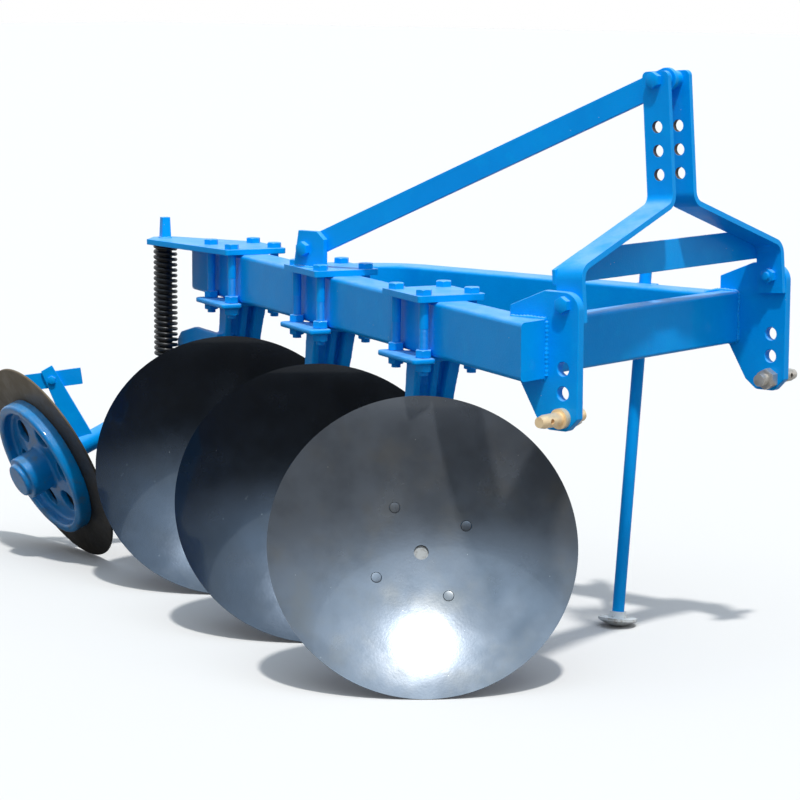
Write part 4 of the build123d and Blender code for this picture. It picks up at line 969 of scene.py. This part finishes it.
def coil_tree():
    """A coil spring: a round wire swept along a spiral."""
    tree = bpy.data.node_groups.new("coil_spring", "GeometryNodeTree")
    sizes = (("Turns", 17.0), ("Coil radius", 0.0265), ("Coil height", 0.29), ("Wire radius", 0.0045))
    for label, default in sizes:
        number_input(tree, label, default)
    tree.interface.new_socket("Finish", in_out="INPUT", socket_type="NodeSocketMaterial")
    tree.interface.new_socket("Geometry", in_out="OUTPUT", socket_type="NodeSocketGeometry")
    given = tree.nodes.new("NodeGroupInput").outputs
    result = tree.nodes.new("NodeGroupOutput")
    line = tree.nodes.new("GeometryNodeCurveSpiral")
    line.inputs["Resolution"].default_value = 44
    tree.links.new(given["Turns"], line.inputs["Rotations"])
    tree.links.new(given["Coil radius"], line.inputs["Start Radius"])
    tree.links.new(given["Coil radius"], line.inputs["End Radius"])
    tree.links.new(given["Coil height"], line.inputs["Height"])
    wire = tree.nodes.new("GeometryNodeCurvePrimitiveCircle")
    wire.inputs["Resolution"].default_value = 14
    tree.links.new(given["Wire radius"], wire.inputs["Radius"])
    swept = tree.nodes.new("GeometryNodeCurveToMesh")
    swept.inputs["Fill Caps"].default_value = True
    tree.links.new(line.outputs["Curve"], swept.inputs["Curve"])
    tree.links.new(wire.outputs["Curve"], swept.inputs["Profile Curve"])
    end_with_finish(tree, swept.outputs["Mesh"], given["Finish"], result)
    return tree


COIL = coil_tree()
SPRING_BOTTOM = 0.505
SPRING_WIRE = 0.0096
SPRING_GAP = 0.0003
SPRING_CORE = 0.0346
coil_rise = BEAM_TOP - SPRING_BOTTOM - SPRING_WIRE - 2 * SPRING_GAP
grown = helper("coil_grown", bpy.data.meshes.new("coil_seed"))
modifier = grown.modifiers.new("coil", "NODES")
modifier.node_group = COIL
values = {
    "Turns": 21.0,
    "Coil radius": 0.0262,
    "Coil height": coil_rise,
    "Wire radius": SPRING_WIRE / 2,
    "Finish": spring_black,
}
set_inputs(modifier, COIL, values)
bm = bmesh.new()
bm.from_mesh(applied(grown))
coil = mesh_of(bm, "coil")
coil_base = beam_point(SHANK_AT, SHANK_SIDE, SPRING_BOTTOM + SPRING_WIRE / 2 + SPRING_GAP)
coil.transform(Matrix.Translation(coil_base) @ Matrix.Rotation(pi - BEAM_ANGLE, 4, "Z"))
piece("coil_spring", coil, spring_black, "frame", ("wheel_spring",), 50)
bm = bmesh.new()
add_rod(bm, SPRING_CORE, SPRING_BOTTOM + SPRING_GAP, BEAM_TOP - SPRING_GAP)
core = mesh_of(bm, "core")
core.transform(Matrix.Translation(beam_point(SHANK_AT, SHANK_SIDE, 0)))
piece("spring_core", core, spring_black, "frame")

# Furrow wheel: its thin flange, turned fine and with an eased rim, and its cast centre
half = WHEEL_STEEL / 2
eased_edge = 0.0016
bm = bmesh.new()
outline = [(WHEEL_HUB + 0.0003, -half), (WHEEL_HUB + 0.0003, half)]
outline += [(WHEEL_RADIUS * share, half) for share in (0.4, 0.6, 0.8)]
outline += [(WHEEL_RADIUS - eased_edge, half), (WHEEL_RADIUS, half - eased_edge)]
outline += [(WHEEL_RADIUS, eased_edge - half), (WHEEL_RADIUS - eased_edge, -half)]
outline += [(WHEEL_RADIUS * share, -half) for share in (0.8, 0.6, 0.4)]
add_turned(bm, outline, 240)
flange = mesh_of(bm, "flange")
flange.transform(WHEEL_PLACE)
piece("wheel_flange", flange, wheel_dark, "furrow_wheel", ("furrow_wheel_flange",), 30)
cast_copy("furrow_wheel_centre", "furrow_wheel", 0.0022, 4, 0.5, wheel_blue_shaded)

# Scraper over the wheel's arm: its root, and its own left-right and outward directions
wheel_arm_bend = WHEEL_PLACE @ Vector((0, 0, -0.062))
wheel_arm = beam_point(SHANK_AT, SHANK_SIDE, 0.400) - wheel_arm_bend
scraper_root = wheel_arm_bend + wheel_arm * SCRAPER_ALONG_ARM
scraper_out = Vector((cos(SCRAPER_AZIMUTH), sin(SCRAPER_AZIMUTH), 0))
scraper_level = UP.cross(scraper_out)

# Its bolt, whose head lies on the arm
scraper_spot = scraper_root + scraper_level * -SCRAPER_BOLT_LEFT + UP * SCRAPER_BOLT_UP
bolt = bolt_mesh(grip=0.016, **M12_BOLT)
bolt.transform(along(scraper_spot + scraper_out * SCRAPER_ARM_FRONT, -scraper_out))
piece("scraper_fixing", bolt, blue_paint, "frame", ("scraper_bolt",))

# Its arm: a tapered flat in front of the blade, leaning where the CAD's arm stands upright
bm = bmesh.new()
levels = []
for ahead in (SCRAPER_ARM_BACK, SCRAPER_ARM_FRONT):
    level = []
    for across, rise in ((0.002, 0.0), (0.002, 0.220), (-0.030, 0.220), (-0.058, 0.0)):
        aside = across * cos(SCRAPER_LEAN) - rise * sin(SCRAPER_LEAN)
        lift = across * sin(SCRAPER_LEAN) + rise * cos(SCRAPER_LEAN)
        level.append(scraper_root + scraper_level * aside + UP * lift + scraper_out * ahead)
    levels.append(level)
add_shell(bm, levels)
arm = softened(mesh_of(bm, "scraper_arm"), 0.0012)
piece("scraper_arm_leaning", arm, blue_paint, "frame", ("scraper_arm",), 0)

# Browned walls of the top-link holes
low, high = STRAP_INNER + 0.0004, STRAP_OUTER - 0.0004
outer, inner = TOP_LINK_HOLE_RADIUS - 0.00001, TOP_LINK_HOLE_RADIUS - 0.00004
for number, side in enumerate((-1, 1)):
    walls = []
    for height in TOP_LINK_HOLES:
        bm = bmesh.new()
        add_turned(bm, [(outer, low), (outer, high), (inner, high), (inner, low)], 64)
        wall = mesh_of(bm, "wall")
        wall.transform(along(mast_point(0, height), (0, side, 0)))
        walls.append(wall)
    piece(f"hole_walls_{number + 1}", join_meshes(walls, "hole_walls"), bore_brown, "frame")


# Weld beads
def bead(path, radius, closed=False):
    """A rippled weld bead along a path of corners."""
    corners = [Vector(p) for p in path]
    if closed:
        corners.append(corners[0])
    spots = []
    for start, end in zip(corners, corners[1:]):
        count = max(int((end - start).length / 0.0022), 2)
        spots += [start.lerp(end, k / count) for k in range(count)]
    if not closed:
        spots.append(corners[-1])
    total = len(spots)
    bm = bmesh.new()
    rings = []
    for k, spot in enumerate(spots):
        before = spots[(k - 1) % total] if closed or k else spots[0]
        after = spots[(k + 1) % total] if closed or k < total - 1 else spots[-1]
        heading = (after - before).normalized()
        side = heading.orthogonal() if abs(heading.z) > 0.9 else heading.cross(UP)
        side.normalize()
        rise = heading.cross(side).normalized()
        swell = radius * (1 + 0.13 * sin(k * 1.55) + 0.10 * sin(k * 0.31 + 1.3) + 0.07 * sin(k * 0.113))
        if not closed and k in (0, total - 1):
            swell *= 0.55
        wander = side * (0.10 * radius * sin(k * 0.23)) + rise * (0.10 * radius * sin(k * 0.17 + 2))
        turns = [2 * pi * j / 8 for j in range(8)]
        rings.append([spot + wander + (side * cos(a) + rise * sin(a)) * swell for a in turns])
    rows = [[bm.verts.new(p) for p in level] for level in rings]
    pairs = list(zip(rows, rows[1:]))
    if closed:
        pairs.append((rows[-1], rows[0]))
    for low, high in pairs:
        band(bm, low, high)
    if not closed:
        bm.faces.new(rows[0][::-1])
        bm.faces.new(rows[-1])
    return mesh_of(bm, "bead")


def hitch_at(x, y, z):
    """A point measured from the floor below the lower pins."""
    return HITCH + Vector((x, y, z))


def box_loop(low_a, high_a, low_b, high_b, place, corner=0.007):
    """A rounded rectangle of points; place turns two sizes into a point."""
    c = corner * 0.3
    return [
        place(low_a + corner, low_b),
        place(high_a - corner, low_b),
        place(high_a - c, low_b + c),
        place(high_a, low_b + corner),
        place(high_a, high_b - corner),
        place(high_a - c, high_b - c),
        place(high_a - corner, high_b),
        place(low_a + corner, high_b),
        place(low_a + c, high_b - c),
        place(low_a, high_b - corner),
        place(low_a, low_b + corner),
        place(low_a + c, low_b + c),
    ]


BEAD = 0.0045
BEAD_OFF = 0.0005
beads = []

# Cross beam and brace on the hitch plates, brace on the cross beam and on the main beam
for side in (-1, 1):
    face = side * (PLATE_INNER - BEAD_OFF)
    loop = box_loop(PLATE_REAR, -0.086, CROSS_BOTTOM, CROSS_TOP, lambda x, z: hitch_at(x, face, z))
    beads.append(bead(loop, BEAD, True))
loop = box_loop(0.315, 0.385, CROSS_BOTTOM, CROSS_TOP, lambda y, z: hitch_at(PLATE_REAR - BEAD_OFF, y, z))
beads.append(bead(loop, BEAD, True))
loop = box_loop(
    1.255, 1.325, CROSS_BOTTOM + 0.006, CROSS_TOP, lambda s, z: beam_point(s, -BEAM_HALF - BEAD_OFF, z)
)
beads.append(bead(loop, BEAD, True))

# Main beam on the right hitch plate
for radius, ends in (
    (0.005, ((BEAM_MITRE, BEAM_BOTTOM + 0.003), (BEAM_MITRE, BEAM_TOP - 0.003))),
    (BEAD, ((BEAM_MITRE, BEAM_TOP), (-0.134, BEAM_TOP))),
    (BEAD, ((BEAM_MITRE, BEAM_BOTTOM), (-0.110, BEAM_BOTTOM))),
):
    beads.append(bead([hitch_at(x, -PLATE_OUTER, z) for x, z in ends], radius))
rear_corner = (PLATE_REAR - BEAD_OFF, -PLATE_OUTER + 0.004)
beads.append(bead([hitch_at(*rear_corner, 0.730), hitch_at(*rear_corner, BEAM_TOP)], BEAD))

# Ear on the second clamp plate, beside the stay
STAY_HALF = 0.006
EAR_HALF = 0.007
EAR_GAP = 0.0003
ear_bolt_spot = beam_point(CLAMP_FIRST + CLAMP_PITCH + 0.0203, 0.045, 0.863)
stay_way = ear_bolt_spot - mast_point(0, MAST_BOLT_HEIGHT)
stay_level = Vector((stay_way.x, stay_way.y, 0)).normalized()
stay_side = UP.cross(stay_way).normalized()
ear_centre = ear_bolt_spot + stay_side * (STAY_HALF + EAR_GAP + EAR_HALF)
ear_centre.z = CLAMP_TOP
loop = box_loop(
    -0.058, 0.033, -EAR_HALF, EAR_HALF, lambda a, b: ear_centre + stay_level * a + stay_side * b, 0.002
)
beads.append(bead(loop, 0.0040, True))

# Stand's sleeve on the brace, and the square stub on the rear clamp plate
loop = box_loop(-0.397, -0.343, 0.692, 0.788, lambda x, z: hitch_at(x, 0.3855, z), 0.004)
beads.append(bead(loop, 0.0038, True))
stub = 0.0125
loop = box_loop(
    -stub, stub, -stub, stub, lambda a, b: beam_point(SHANK_AT + a, SHANK_SIDE + b, CLAMP_TOP), 0.003
)
beads.append(bead(loop, 0.0030, True))
piece("weld_beads", join_meshes(beads, "weld_beads"), blue_weld, "frame", (), 60)

# Bolt through the ear and the stay
bolt = bolt_mesh(grip=2 * STAY_HALF + EAR_GAP + 2 * EAR_HALF, **M20_BOLT)
bolt.transform(along(ear_bolt_spot + stay_side * (STAY_HALF + EAR_GAP + 2 * EAR_HALF), -stay_side))
piece("ear_fixing", bolt, blue_paint, "frame", ("stay_ear_bolt",))

# Floor
floor_mesh = bpy.data.meshes.new("floor")
reach = 60.0
corners = [(-reach, -reach, 0), (reach, -reach, 0), (reach, reach, 0), (-reach, reach, 0)]
floor_mesh.from_pydata(corners, [], [(0, 1, 2, 3)])
floor = bpy.data.objects.new("floor", floor_mesh)
scene.collection.objects.link(floor)
floor.location.z = -0.0005
floor_finish = Finish("pale_floor", (0.18, 0.18, 0.18), 0.9)
paths = floor_finish.tree.nodes.new("ShaderNodeLightPath").outputs
mirrored_floor = reckon(floor_finish.tree, "MAXIMUM", paths["Is Glossy Ray"], paths["Is Transmission Ray"])
floor_finish.tint(mirrored_floor, (0.42, 0.42, 0.42))
floor_finish.tint(paths["Is Camera Ray"], (0.80, 0.80, 0.80))
floor_finish.shader.inputs["Specular IOR Level"].default_value = 0.0
floor_mesh.materials.append(floor_finish.material)
